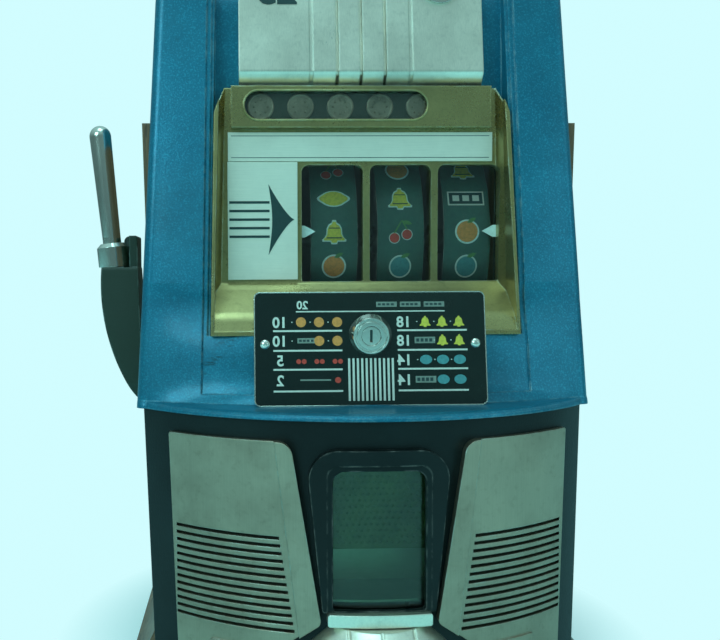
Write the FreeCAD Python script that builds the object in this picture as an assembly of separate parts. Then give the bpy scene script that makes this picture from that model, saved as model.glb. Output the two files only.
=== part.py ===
"""Three-reel slot machine with a side handle, built as an assembly of named pieces.

Units are millimetres. +Z is up, the front faces -Y and the handle is on the -X side.
The origin is on the surface the machine stands on, under the middle of its front plan.
Each function below makes one piece or one group of like pieces, and PARTS names them all.
"""
import FreeCAD, Part
import math
import os

V = FreeCAD.Vector

# ---------------------------------------------------------------- driving sizes
# cabinet
base_half_width = 187.0      # outer face of a side board at the base board
shoulder_half_width = 198.0  # outer face of a side board at its top
board_thick = 12.0
board_top_z = 505.0
base_board_thick = 20.0
plinth_top_z = 62.0
plinth_flare = 28.0          # how far the plinth spreads beyond a side board at the floor
casting_back_y = -88.0       # where both front castings meet the cabinet
cabinet_back_y = 178.0
# upper casting
joint_z = 250.0              # seam between the two castings
top_z = 658.0
joint_half_width = 203.0
crown_z = 614.0
crown_half_width = 185.0
corner_radius = 30.0
brow_radius = 52.0
crown_fall = 14.0            # how far the crown falls from front to back
wall = 5.0
edge_round = 9.0             # rounding of the casting's upright outer edges
channel_half_low = 136.6     # half width of the middle channel at sill_z
channel_half_high = 131.0    # and at crown_z
channel_floor_y = -80.0
channel_depth = 12.0         # depth of the channel over the crown
channel_end_y = 30.0
sill_z = 314.0               # bottom of the channel and of the reel frame
border_width = 2.6
border_depth = 4.0
pillar_step = 2.0            # how far the pillars stand forward of the apron and its borders
step_offset = 7.0            # from the channel's edge to the step
step_low_z = 264.0
bow_radius = 271.0           # plan radius of the lower front
bow_front_y = -204.0
# height, then front of the outer edges, then front of the middle
LIP = [(250.0, -121.0, -204.0), (252.5, -120.7, -203.5), (254.3, -120.2, -201.0), (255.4, -119.6, -196.0),
       (256.5, -118.8, -161.0)]
SKIRT = [(256.5, -118.8, -161.0), (266.0, -118.0, -151.0), (285.0, -116.5, -145.0), (314.0, -114.0, -138.0),
         (360.0, -110.5, -128.0)]
TOWER = [(360.0, -110.5, -128.0), (614.0, -91.0, -95.0), (668.0, -87.0, -90.5)]
# coin head panel
panel_half_width = 110.0
panel_bottom_z = 537.0
panel_nose_z = 548.0
panel_low_y = -100.0         # front of the panel at its nose
panel_high_y = -91.0         # and at crown_z
panel_top_z = 656.0
panel_fall = 5.0
slit_pitch = 21.5
slit_width = 2.6
slit_depth = 4.0
crease_x = 45.0
crease_width = 3.2
crease_depth = 0.9
# return button and its bezel
button_x = 72.0
button_z = 631.0
button_radius = 13.0
bezel_radius = 20.0
running_gap = 0.3
shaft_gap = 0.05
# reel frame
rim_width = 2.5
rim_low_y = -130.0           # front of the frame's rim at sill_z
rim_high_y = -102.5          # and at its top
frame_plate_y = -90.0        # front of the plate that holds the reel windows
frame_plate_thick = 8.0
frame_inner_inset = 8.0
window_low_z = 361.0
window_high_z = 467.0
window_width = 56.0
window_pitch = 62.4
window_first_x = -25.5
window_corner = 7.0
sill_front_drop = 40.0
payline_z = 407.0
name_plate_low_z = 470.0
name_plate_high_z = 496.0
arrow_plate_left_x = -121.0
arrow_plate_right_x = -57.5
plate_thick = 2.4
escalator_low_z = 499.0
escalator_high_z = 536.0
escalator_front_y = -100.0
escalator_sheet = 4.0
slot_left_x = -106.0
slot_right_x = 59.6
slot_low_z = 505.5
slot_high_z = 532.0
glass_thick = 2.0
# coins
coin_radius = 12.1
coin_thick = 1.8
escalator_first_x = -90.5
escalator_pitch = 36.0
escalator_count = 5
# award card
card_half_width = 97.5
card_low_z = 257.5
card_high_z = 351.0
card_low_y = -160.0
card_high_y = -146.0
card_margin = 1.2
card_thick = 2.0
card_screw_x = 89.5
card_screw_z = 308.0
lock_z = 315.0
lock_ring_radius = 18.5
lock_plug_radius = 8.0
lock_boss_depth = 7.0
card_corner = 4.0
# lower casting and what it carries
lower_top_half_width = 197.0
lower_low_half_width = 188.0
casting_setback = 6.0        # the casting's skin lies this far inside the bow
grille_thick = 5.0
grille_roll = 4.0            # how far the band beside the window stands forward
roll_width = 13.0
grille_top_z = 233.0
grille_low_z = 27.0
grille_outer_high = 172.5
grille_outer_low = 165.0
grille_inner_high = 71.0
grille_inner_low = 47.0
grille_inner_low_z = 87.0
grille_foot_half = 78.0
louvre_count = 13
louvre_pitch = 6.3
louvre_high_z = 154.0
louvre_open = 2.8
louvre_inner_high = 80.0
louvre_inner_low = 68.0
window_bezel_top_z = 227.0
window_bezel_half = 59.0
window_bezel_low_z = 96.0
window_bezel_low_half = 46.0
jackpot_half = 37.5
jackpot_low_z = 97.0
jackpot_high_z = 210.0
glass_lap = 3.0
strip_low_z = 86.0
strip_half = 42.0
cup_top_z = 85.0
cup_low_z = 20.0
cup_wall = 3.5
cup_mouth_half = 44.0
cup_mouth_low_z = 40.0
cup_mouth_high_z = 60.0
rib_cut = 2.4
rib_depth = 1.8
# height, half width and front of the payout cup's hood and bowl
CUP_HOOD = [(cup_top_z, 45.0, -217.0), (cup_top_z - 8, 52.0, -226.0), (cup_mouth_high_z, 66.0, -236.0),
            (cup_mouth_low_z, 72.0, -240.0)]
CUP_BOWL = [(cup_low_z, 50.0, -232.0), (cup_low_z + 7, 64.0, -250.0), (cup_mouth_low_z + 2, 73.0, -262.0)]
rib_pitch = 26.0
# handle
handle_y = -14.0
handle_z = 275.0
handle_shaft_radius = 9.0
handle_hub_radius = 27.0
handle_out_x = -205.5
shaft_seat = 12.0            # how far the shaft goes into the arm
collar_radius = 15.5
collar_height = 20.0
grip_radius_low = 9.0
grip_radius_high = 10.6
grip_length = 110.0
grip_lean = 5.5              # degrees outwards from upright
grip_foot_out = 30.0         # from the arm's inner face to the grip's foot
arm_reach = 40.5             # from the arm's inner face to its outer edge
arm_rise = 101.0             # from the shaft up to the arm's top
lug_rise = 31.0              # how far the lug stands above the arm's top
# mechanism
reel_radius = 102.0
reel_z = 403.0
reel_window_gap = 7.0        # from the reel glass to the reels
reel_width = 44.0
reel_first_x = -22.0
reel_pitch = 62.5
strip_thick = 0.6
hub_radius = 13.0
reel_shaft_radius = 6.0
star_radius = 40.0
star_teeth = 20
star_offset = 28.0
side_plate_thick = 3.0
mech_floor_z = 205.0
mech_floor_thick = 8.0
coin_tube_x = -95.0
coin_tube_y = 60.0
coin_tube_wall = 1.5
coin_tube_top_z = 440.0
payout_travel = 25.0
door_thick = 10.0
door_gap = 1.5

# ---------------------------------------------------------------- derived places
base_z = base_board_thick
bow_centre_y = bow_front_y + bow_radius
reel_glass_y = frame_plate_y + frame_plate_thick
reel_y = reel_glass_y + glass_thick + reel_window_gap + strip_thick + reel_radius
door_y = cabinet_back_y - door_thick
reel_xs = [reel_first_x + i * reel_pitch for i in range(3)]
frame_left_x = reel_xs[0] - reel_width / 2 - 12.0
frame_right_x = reel_xs[2] + star_offset + 12.0


# ---------------------------------------------------------------- shape helpers
def box(x0, x1, y0, y1, z0, z1):
    return Part.makeBox(x1 - x0, y1 - y0, z1 - z0, V(x0, y0, z0))


def tube_x(x0, x1, y, z, radius, bore=0.0):
    """A rod, or a ring with a bore, along X."""
    rod = Part.makeCylinder(radius, x1 - x0, V(x0, y, z), V(1, 0, 0))
    if bore:
        rod = rod.cut(Part.makeCylinder(bore, x1 - x0, V(x0, y, z), V(1, 0, 0)))
    return rod


def tube_y(y0, y1, x, z, radius, bore=0.0):
    rod = Part.makeCylinder(radius, y1 - y0, V(x, y0, z), V(0, 1, 0))
    if bore:
        rod = rod.cut(Part.makeCylinder(bore, y1 - y0, V(x, y0, z), V(0, 1, 0)))
    return rod


def tube_z(z0, z1, x, y, radius, bore=0.0):
    rod = Part.makeCylinder(radius, z1 - z0, V(x, y, z0))
    if bore:
        rod = rod.cut(Part.makeCylinder(bore, z1 - z0, V(x, y, z0)))
    return rod


def prism(corners, along, low, high):
    """Extrudes a polygon along X, Y or Z. The corners are given in the other two, in axis order."""
    place = {"x": lambda a, b: V(low, a, b), "y": lambda a, b: V(a, low, b), "z": lambda a, b: V(a, b, low)}
    way = {"x": V(1, 0, 0), "y": V(0, 1, 0), "z": V(0, 0, 1)}
    points = [place[along](a, b) for a, b in corners]
    face = Part.Face(Part.makePolygon(points + points[:1]))
    return face.extrude(way[along] * (high - low))


def rounded_prism(corners, radii, along, low, high):
    """As prism, with corner i rounded to radii[i]."""
    place = {"x": lambda p: V(low, p[0], p[1]), "y": lambda p: V(p[0], low, p[1]),
             "z": lambda p: V(p[0], p[1], low)}
    way = {"x": V(1, 0, 0), "y": V(0, 1, 0), "z": V(0, 0, 1)}
    points = [V(a, b, 0) for a, b in corners]
    starts, ends, edges = [], [], []
    for i, corner in enumerate(points):
        before, after = points[i - 1], points[(i + 1) % len(points)]
        u, w = (before - corner).normalize(), (after - corner).normalize()
        half = u.getAngle(w) / 2
        reach = radii[i] / math.tan(half) if radii[i] else 0.0
        start, end = corner + u * reach, corner + w * reach
        starts.append(start)
        ends.append(end)
        if radii[i]:
            middle = corner + (u + w).normalize() * (radii[i] / math.sin(half) - radii[i])
            edges.append((start, middle, end))
        else:
            edges.append(None)
    wire = []
    for i, arc in enumerate(edges):
        if arc:
            a, m, b = (place[along]((p.x, p.y)) for p in arc)
            wire.append(Part.Arc(a, m, b).toShape())
        a, b = ends[i], starts[(i + 1) % len(points)]
        if (b - a).Length > 1e-6:
            wire.append(Part.makeLine(place[along]((a.x, a.y)), place[along]((b.x, b.y))))
    return Part.Face(Part.Wire(wire)).extrude(way[along] * (high - low))


def mirrored(shape):
    return shape.mirror(V(0, 0, 0), V(1, 0, 0))


def joined(shapes):
    whole = shapes[0].fuse(shapes[1:]) if len(shapes) > 1 else shapes[0]
    return whole.removeSplitter()


def bow_shell(inner, outer, z0, z1):
    """A ring about the vertical axis of the bowed front, kept to its front half."""
    ring = tube_z(z0, z1, 0, bow_centre_y, outer, inner)
    return ring.common(box(-outer, outer, bow_centre_y - outer - 1, bow_centre_y - 90, z0, z1))


def at_height(z, z0, v0, z1, v1):
    return v0 + (v1 - v0) * (z - z0) / (z1 - z0)


def board_outer(z):
    return at_height(z, base_z, base_half_width, board_top_z, shoulder_half_width)


def case_half(z):
    return at_height(z, joint_z, joint_half_width, crown_z, crown_half_width)


def channel_half(z):
    return at_height(z, sill_z, channel_half_low, crown_z, channel_half_high)


def card_y(z):
    return at_height(z, card_low_z, card_low_y, card_high_z, card_high_y)


# ---------------------------------------------------------------- cabinet
def side_board():
    outer = [(board_outer(base_z), base_z), (board_outer(board_top_z), board_top_z)]
    inner = [(x - board_thick, z) for x, z in reversed(outer)]
    return prism(outer + inner, "y", casting_back_y, cabinet_back_y)


def handle_board():
    """The handle side board, bored for the handle shaft's bush."""
    hole = tube_x(-shoulder_half_width - 5, -base_half_width + board_thick + 8, handle_y, handle_z,
                  handle_shaft_radius + 4)
    return mirrored(side_board()).cut(hole)


def base_outline(inset, z0, z1):
    plan = tube_z(z0, z1, 0, bow_centre_y, bow_radius - casting_setback - inset)
    plan = plan.common(box(-base_half_width, base_half_width, -400, casting_back_y, z0, z1))
    back = box(-base_half_width, base_half_width, casting_back_y, cabinet_back_y, z0, z1)
    return joined([plan, back])


def base_board():
    return base_outline(1.0, 0, base_z)


def plinth_side():
    low, high = base_half_width, board_outer(plinth_top_z)
    reach = low + plinth_flare
    foot = V(reach, casting_back_y, 0)
    lip = V(reach, casting_back_y, 8)
    head = V(high + 1.5, casting_back_y, plinth_top_z)
    middle = V(high + 7.0, casting_back_y, plinth_top_z / 2)
    toe = V(low, casting_back_y, 0)
    top = V(high, casting_back_y, plinth_top_z)
    base = V(low, casting_back_y, base_z)
    edges = [Part.makeLine(toe, foot), Part.makeLine(foot, lip), Part.Arc(lip, middle, head).toShape(),
             Part.makeLine(head, top), Part.makeLine(top, base), Part.makeLine(base, toe)]
    return Part.Face(Part.Wire(edges)).extrude(V(0, cabinet_back_y - casting_back_y, 0))


def mechanism_rails():
    """The two rails under the mechanism's floor, one on each side board."""
    z0 = mech_floor_z - 10
    rails = []
    for side in (-1, 1):
        inner = board_outer(z0) - board_thick
        lip = board_outer(mech_floor_z) - board_thick
        rail = prism([(inner, z0), (lip, mech_floor_z), (lip - 62, mech_floor_z), (lip - 62, z0 + 7),
                      (inner - 3, z0 + 7), (inner - 3, z0)], "y", -50, 140)
        rails.append(rail if side > 0 else mirrored(rail))
    return Part.makeCompound(rails)


# ---------------------------------------------------------------- upper casting
def case_section(z, edge_y, middle_y, inset):
    """One plan outline of the upper casting: straight sides, rounded corners and a bowed front."""
    half, r = case_half(z) - inset, edge_round - min(inset, 3.0)
    y0, y1 = edge_y + inset, middle_y + inset
    back = 400.0
    near = V(half - r, y0, z)
    side = V(half, y0 + r, z)
    corner = V(half - r * 0.293, y0 + r * 0.293, z)
    arc = Part.Arc(V(-near.x, near.y, z), V(0, y1, z), near).toShape()
    edges = [arc, Part.Arc(near, corner, side).toShape(), Part.makeLine(side, V(half, back, z)),
             Part.makeLine(V(half, back, z), V(-half, back, z)),
             Part.makeLine(V(-half, back, z), V(-side.x, side.y, z)),
             Part.Arc(V(-side.x, side.y, z), V(-corner.x, corner.y, z), V(-near.x, near.y, z)).toShape()]
    return Part.Wire(edges)


def case_solid(inset):
    """The upper casting's outer form drawn in by an inset: a flared skirt rising to plain pillars."""
    forms = []
    for stations, ruled in ((LIP, True), (SKIRT, False), (TOWER, True)):
        sections = [case_section(z, edge, middle, inset) for z, edge, middle in stations]
        forms.append(Part.makeLoft(sections, True, ruled))
    body = joined(forms)
    return body.common(case_silhouette(inset)).common(case_profile(inset))


def case_silhouette(inset):
    """The upper casting's front view, extruded through the depth."""
    z0 = joint_z - 1
    half_low, half_high = case_half(z0) - inset + 1, case_half(top_z) - inset
    corner = max(corner_radius - inset, 4.0)
    corners = [(-half_low, z0), (half_low, z0), (half_high, top_z - inset), (-half_high, top_z - inset)]
    return rounded_prism(corners, [0, 0, corner, corner], "y", -300, 500)


def case_profile(inset):
    """The upper casting's side view, extruded through the width."""
    front = TOWER[-1][2] + inset
    lean = (TOWER[-1][2] - TOWER[0][2]) / (TOWER[-1][0] - TOWER[0][0])
    front_top = front + lean * (top_z - TOWER[-1][0])
    back = cabinet_back_y - inset
    corners = [(-400, joint_z), (-400, TOWER[0][0]), (TOWER[0][2] + inset, TOWER[0][0]),
               (front_top, top_z - inset), (back, top_z - crown_fall - inset), (back, joint_z)]
    return rounded_prism(corners, [0, 0, 0, brow_radius - inset, corner_radius - inset, 0], "x", -300, 300)


def channel_outline(grow):
    """Front view of the middle channel between the pillars, as a prism through the depth."""
    z0, z1 = sill_z - grow, top_z + 20
    half_low, half_high = channel_half(sill_z) + grow, channel_half(z1) + grow
    corners = [(-half_low, z0), (half_low, z0), (half_high, z1), (-half_high, z1)]
    return prism(corners, "y", -300, channel_end_y + grow)


def channel_floor(sink):
    """Everything behind the channel's floor and under its crown, sunk by a distance."""
    y, z = channel_floor_y + sink, top_z - channel_depth - sink
    return rounded_prism([(y, joint_z - 50), (y, z), (500, z), (500, joint_z - 50)],
                         [0, brow_radius - channel_depth - sink, 0, 0], "x", -300, 300)


def channel_cut():
    return channel_outline(0).cut(channel_floor(0))


def strip_along_channel(left, right, z0):
    """An upright strip of the front view whose two edges follow the channel's edge on the +X side."""
    a, b = channel_half(z0), channel_half(top_z + 20)
    return prism([(a + left, z0), (a + right, z0), (b + right, top_z + 20), (b + left, top_z + 20)],
                 "y", -300, channel_end_y)


def upper_casting():
    """The hooded casting over the whole upper front, open at its back and below."""
    outer = case_solid(0)
    hollow = case_solid(wall).common(box(-300, 300, -300, 500, joint_z + wall, top_z))
    hollow = hollow.cut(channel_outline(wall).cut(channel_floor(wall)))
    border = strip_along_channel(-1, border_width, sill_z).cut(case_solid(border_depth))
    apron = strip_along_channel(-channel_half_high, step_offset, step_low_z).cut(case_solid(pillar_step))
    body = outer.cut(hollow).cut(channel_cut())
    for tool in (border, apron):
        body = body.cut(tool).cut(mirrored(tool))
    # below the side boards' tops only the front of the casting remains
    body = body.cut(box(-300, 300, casting_back_y, 500, joint_z - 10, board_top_z))
    # a way through the channel's floor for the escalator, and for the return button's stem
    half = channel_half(escalator_low_z) - 10
    body = body.cut(box(-half, half, -120, 0, board_top_z - 5, escalator_high_z - 3))
    body = body.cut(tube_y(-300, 0, button_x, button_z, button_radius + 2))
    body = body.cut(card_seat())
    return max(body.Solids, key=lambda part: part.Volume)


# ---------------------------------------------------------------- coin head panel
def panel_profile(depth, x0, x1):
    """The coin head panel's side view with its skin taken down by a depth, between two widths."""
    lean = (panel_high_y - panel_low_y) / (crown_z - panel_nose_z)
    top_y = panel_low_y + lean * (panel_top_z - panel_nose_z)
    corners = [(0, panel_bottom_z + depth), (panel_low_y + 9 + depth, panel_bottom_z + depth),
               (panel_low_y + depth, panel_nose_z), (top_y + depth, panel_top_z - depth),
               (channel_end_y - 2, panel_top_z - panel_fall - depth),
               (channel_end_y - 2, panel_bottom_z + depth)]
    return rounded_prism(corners, [0, 3, 5, brow_radius - 8 - depth, 0, 0], "x", x0, x1)


def head_panel():
    """The bright panel over the crown, with its three slits and two creases."""
    solid = panel_profile(0, -panel_half_width, panel_half_width).common(channel_cut())
    for i in (-1, 0, 1):
        solid = solid.cut(skin_slot(i * slit_pitch, slit_width, slit_depth))
    for side in (-1, 1):
        solid = solid.cut(skin_slot(side * crease_x, crease_width, crease_depth))
    solid = solid.cut(tube_y(-300, 0, button_x, button_z, button_radius + running_gap))
    return solid


def skin_slot(x, width, depth):
    """The skin of the head panel over one narrow band of its width."""
    outer = panel_profile(-5, x - width / 2, x + width / 2)
    return outer.cut(panel_profile(depth, x - width, x + width))


def button_bezel():
    y0 = button_face_y()
    ring = tube_y(y0 - 5, y0 + 4, button_x, button_z, bezel_radius, button_radius + running_gap)
    return ring.cut(head_panel())


def button_face_y():
    """Front of the head panel at the button's height."""
    return at_height(button_z, panel_nose_z, panel_low_y, crown_z, panel_high_y)


def return_button():
    y0 = button_face_y()
    cap = tube_y(y0 - 9, y0 + 6, button_x, button_z, button_radius)
    face_edges = [e for e in cap.Edges if abs(e.BoundBox.YMax - (y0 - 9)) < 0.1 and e.BoundBox.YLength < 0.1]
    cap = cap.makeFillet(2.0, face_edges)
    dish = Part.makeSphere(30, V(button_x, y0 - 9 - 28, button_z))
    cap = cap.cut(dish)
    stem = tube_y(y0 + 5, y0 + 34, button_x, button_z, 4)
    return joined([cap, stem])


# ---------------------------------------------------------------- reel frame
def frame_outline(inset, y0, y1):
    """The reel frame's front view: a tall trapezium with its top corners cut off."""
    low, high = sill_z + inset, escalator_high_z - inset
    half_low = channel_half(sill_z) - 0.6 - inset
    half_cut = channel_half(escalator_high_z - 24) - 0.6 - inset
    half_high = half_cut - 9
    corners = [(-half_low, low), (half_low, low), (half_cut, high - 24 + inset), (half_high, high),
               (-half_high, high), (-half_cut, high - 24 + inset)]
    return prism(corners, "y", y0, y1)


def reel_frame():
    """The lacquered frame round the reel windows, the plates and the escalator."""
    back = reel_glass_y
    side = prism([(rim_low_y, sill_z), (rim_high_y, escalator_high_z), (back, escalator_high_z),
                  (back, window_low_z - 14), (casting_back_y, window_low_z - 14), (casting_back_y, sill_z)],
                 "x", -300, 300)
    body = frame_outline(0, -300, 0).common(side)
    # the pocket that leaves a rim: its walls draw in towards the plate
    z0, z1 = sill_z + 4, escalator_high_z - 1

    def ring(inset, y):
        half_low, half_high = channel_half(z0) - inset, channel_half(z1) - inset
        points = [V(-half_low, y, z0), V(half_low, y, z0), V(half_high - 2, y, z1 + 10),
                  V(-half_high + 2, y, z1 + 10)]
        return Part.makePolygon(points + points[:1])

    rings = [ring(rim_width + 0.6, -140), ring(rim_width + 0.6, rim_high_y + 4),
             ring(frame_inner_inset, frame_plate_y), ring(frame_inner_inset, -60)]
    pocket = Part.makeLoft(rings, True, True)
    sweep = sill_front_drop
    keep = [(frame_plate_y, escalator_high_z + 20), (frame_plate_y, window_low_z - 1),
            (frame_plate_y - 6, window_low_z - 7), (rim_low_y + 8, sill_z + sweep * 0.42),
            (rim_low_y + 1.5, sill_z + 4), (rim_low_y - 40, sill_z + 4),
            (rim_low_y - 40, escalator_high_z + 20)]
    space = rounded_prism(keep, [0, 4, 14, 26, 0, 0, 0], "x", -300, 300)
    pocket = pocket.common(space)
    body = body.cut(pocket)
    # the escalator's front sheet stands forward of the plate
    half = channel_half(escalator_low_z) - 16
    sheet = box(-half, half, escalator_front_y, escalator_front_y + escalator_sheet, escalator_low_z,
                escalator_high_z)
    shelf = box(-half, half, escalator_front_y, frame_plate_y + 1, escalator_low_z, escalator_low_z + 3)
    cheek = box(half - 3, half, escalator_front_y, frame_plate_y + 1, escalator_low_z, escalator_high_z)
    body = joined([body, sheet, shelf, cheek, mirrored(cheek)])
    body = body.cut(box(-half + 3, half - 3, escalator_front_y + escalator_sheet, 0,
                        escalator_low_z + 3, escalator_high_z - 3))
    body = body.cut(coin_slot(-300, 0, 0))
    for i in range(3):
        body = body.cut(reel_window(i, 0, -300, 0))
    return body


def frame_bulk():
    """The reel frame's sill, as the card holder meets it."""
    return reel_frame().common(box(-300, 300, -300, 0, sill_z - 5, window_low_z - 1))


def coin_slot(y0, y1, inset):
    z = (slot_low_z + slot_high_z) / 2
    r = (slot_high_z - slot_low_z) / 2 - inset
    left, right = slot_left_x + r + inset, slot_right_x - r - inset
    ends = [tube_y(y0, y1, left, z, r), tube_y(y0, y1, right, z, r)]
    return joined(ends + [box(left, right, y0, y1, z - r, z + r)])


def reel_window(i, inset, y0, y1):
    x = window_first_x + i * window_pitch
    half = window_width / 2 - inset
    z0, z1 = window_low_z + inset, window_high_z - inset
    corners = [(x - half, z0), (x + half, z0), (x + half, z1), (x - half, z1)]
    r = window_corner - inset
    return rounded_prism(corners, [2, 2, r, r], "y", y0, y1)


def reel_glass():
    x0 = window_first_x - window_width / 2 - 4
    x1 = window_first_x + 2 * window_pitch + window_width / 2 - 1
    return box(x0, min(x1, channel_half_low - 10), reel_glass_y, reel_glass_y + glass_thick,
               window_low_z - 5, window_high_z + 5)


def pointers():
    """The two small arrowheads beside the pay line, one at each end."""
    y1 = reel_glass_y
    marks = []
    first = window_first_x - window_width / 2
    last = window_first_x + 2 * window_pitch + window_width / 2
    for x, way in ((first, 1), (last, -1)):
        marks.append(prism([(x, payline_z - 5.5), (x + way * 3, payline_z - 5.5), (x + way * 13, payline_z),
                            (x + way * 3, payline_z + 5.5), (x, payline_z + 5.5)][::way], "y", y1 - 1.2, y1))
    return Part.makeCompound(marks)


def escalator_glass():
    y = escalator_front_y + escalator_sheet
    return box(slot_left_x - 4, slot_right_x + 4, y, y + glass_thick, slot_low_z - 3, slot_high_z + 1)


def name_plate():
    half = 120.5
    return box(-half, half, frame_plate_y - plate_thick, frame_plate_y, name_plate_low_z, name_plate_high_z)


def arrow_plate():
    return box(arrow_plate_left_x, arrow_plate_right_x, frame_plate_y - plate_thick, frame_plate_y,
               window_low_z + 2, name_plate_low_z - 0.5)


def track_y():
    """Front of the plate the shown coins stand against."""
    return escalator_front_y + escalator_sheet + glass_thick + 4.0


def escalator_track():
    half = channel_half(escalator_low_z) - 19.6
    y0 = track_y()
    z0, z1 = escalator_low_z + 3, escalator_high_z - 3
    plate = box(-half, half, y0, y0 + 3, z0, z1)
    low = box(-half, half, y0 - 3.4, y0, z0, z0 + 2)
    high = box(-half, half, y0 - 3.4, y0, z1 - 2, z1)
    return joined([plate, low, high])


def escalator_coins():
    y1 = track_y() - 0.2
    z = (slot_low_z + slot_high_z) / 2
    coins = []
    for i in range(escalator_count):
        coins.append(tube_y(y1 - coin_thick, y1, escalator_first_x + i * escalator_pitch, z, coin_radius))
    return Part.makeCompound(coins)


# ---------------------------------------------------------------- award card and its lock
def card_slab(front, back, half, z0, z1):
    """A slab parallel to the leaning card, from front to back behind the card's face."""
    return prism([(card_y(z0) + front, z0), (card_y(z1) + front, z1), (card_y(z1) + back, z1),
                  (card_y(z0) + back, z0)], "x", -half, half)


def card_front(grow):
    """The card's front view with its rounded corners, as a prism through the depth."""
    half, low, high = card_half_width + grow, card_low_z - grow, card_high_z + grow
    corners = [(-half, low), (half, low), (half, high), (-half, high)]
    return rounded_prism(corners, [card_corner + grow] * 4, "y", -300, 0)


def card_seat():
    """The room the card lies in, open to the front."""
    slab = card_slab(-10, card_thick, card_half_width + 2, card_low_z - 2, card_high_z + 2)
    return slab.common(card_front(running_gap))


def card_holder():
    """The block that carries the card forward of the apron, hollow behind, with the lock's boss."""
    low, high = card_low_z - card_margin, card_high_z + card_margin
    profile = [(card_y(low), low), (card_y(high), high), (card_y(high) + 16, high),
               (frame_plate_y - 8, sill_z + 36), (frame_plate_y - 8, low)]
    side = prism(profile, "x", -card_half_width - card_margin, card_half_width + card_margin)
    side = side.common(card_front(card_margin))
    seat = card_seat()
    block = side.cut(seat).cut(case_solid(0).cut(channel_cut())).cut(frame_bulk())
    skin = card_thick + 2.0
    room = [(card_y(low) + skin, low + 7), (card_y(high) + skin, high - 6), (0, high - 6), (0, low + 7)]
    pocket = prism(room, "x", -card_half_width + 6, card_half_width - 6)
    boss = tube_y(card_y(lock_z), card_y(lock_z) + lock_boss_depth, 0, lock_z, lock_plug_radius + 5)
    boss = boss.cut(seat)
    block = joined([block.cut(pocket), boss])
    block = block.cut(tube_y(-300, 0, 0, lock_z, lock_plug_radius + running_gap))
    return max(block.Solids, key=lambda part: part.Volume)


def award_card():
    plate = card_slab(0, card_thick, card_half_width, card_low_z, card_high_z).common(card_front(0))
    return plate.cut(tube_y(-300, 0, 0, lock_z, lock_plug_radius + running_gap))


def card_screws():
    screws = []
    y = card_y(card_screw_z)
    for side in (-1, 1):
        head = Part.makeSphere(5.2, V(side * card_screw_x, y + 2.6, card_screw_z))
        head = head.common(tube_y(y - 10, y - 0.1, side * card_screw_x, card_screw_z, 4.2))
        slot = box(side * card_screw_x - 5, side * card_screw_x + 5, y - 10, y - 1.9, card_screw_z - 0.5,
                   card_screw_z + 0.5)
        head = head.cut(slot).cut(card_slab(0, 30, card_half_width, card_low_z, card_high_z))
        screws.append(head)
    return Part.makeCompound(screws)


def lock_ring():
    y = card_y(lock_z)
    cone = Part.makeCone(lock_ring_radius - 3.5, lock_ring_radius, 6.5, V(0, y - 6.0, lock_z), V(0, 1, 0))
    ring = cone.cut(tube_y(-300, 0, 0, lock_z, lock_plug_radius + running_gap))
    groove = tube_y(-300, y - 4.8, 0, lock_z, lock_ring_radius - 5, lock_ring_radius - 6.5)
    return ring.cut(groove).cut(card_slab(0, 30, card_half_width, card_low_z, card_high_z))


def lock_plug():
    """The card lock's key plug, with the cam on its inner end."""
    y = card_y(lock_z)
    back = y + lock_boss_depth + running_gap
    plug = tube_y(y - 5.5, back, 0, lock_z, lock_plug_radius)
    key = box(-1.1, 1.1, y - 6, y + 6, lock_z - 5.2, lock_z + 5.2)
    hub = tube_y(back, back + 2.5, 0, lock_z, 7)
    cam = box(-5, 5, back, back + 2.5, lock_z, lock_z + 16)
    return joined([plug, hub, cam]).cut(key)


# ---------------------------------------------------------------- lower casting
def lower_outline(inset, z0, z1):
    half_low = at_height(z0, base_z, lower_low_half_width, joint_z, lower_top_half_width) - inset
    half_high = at_height(z1, base_z, lower_low_half_width, joint_z, lower_top_half_width) - inset
    corners = [(-half_low, z0), (half_low, z0), (half_high, z1), (-half_high, z1)]
    return prism(corners, "y", -400, casting_back_y)


def lower_casting():
    """The bowed black front below the seam, open behind."""
    r = bow_radius - casting_setback
    z0, z1 = base_z, joint_z
    body = lower_outline(0, z0, z1).common(tube_z(z0, z1, 0, bow_centre_y, r))
    room = lower_outline(wall, z0 + wall, z1 - wall)
    room = room.common(tube_z(z0 + wall, z1 - wall, 0, bow_centre_y, r - wall))
    body = body.cut(room)
    body = body.cut(jackpot_opening(glass_lap + running_gap, -300, -120))
    body = body.cut(box(-34, 34, -300, -150, cup_mouth_low_z + 2, cup_mouth_high_z))
    body = body.cut(box(-120, 120, casting_back_y - 60, 0, joint_z - wall - 1, joint_z + 1))
    return body


def jackpot_opening(grow, y0, y1):
    h, z0, z1 = jackpot_half + grow, jackpot_low_z - grow, jackpot_high_z + grow
    return rounded_prism([(-h, z0), (h, z0), (h, z1), (-h, z1)], [3, 3, 9, 9], "y", y0, y1)


def on_bow(outline, inner, outer):
    """Lays an outline, given as a prism along Y, on the bowed front between two radii."""
    return outline.common(bow_shell(inner, outer, base_z, joint_z - 2))


def grille_outline():
    low, high, notch = grille_low_z, grille_top_z, grille_inner_low_z
    corners = [(grille_outer_low, low), (grille_outer_high, high), (grille_inner_high, high),
               (grille_inner_low, notch), (grille_foot_half, notch - 22), (grille_foot_half, low)]
    return rounded_prism(corners, [2, 2, 12, 6, 6, 2], "y", -400, 0)


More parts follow.
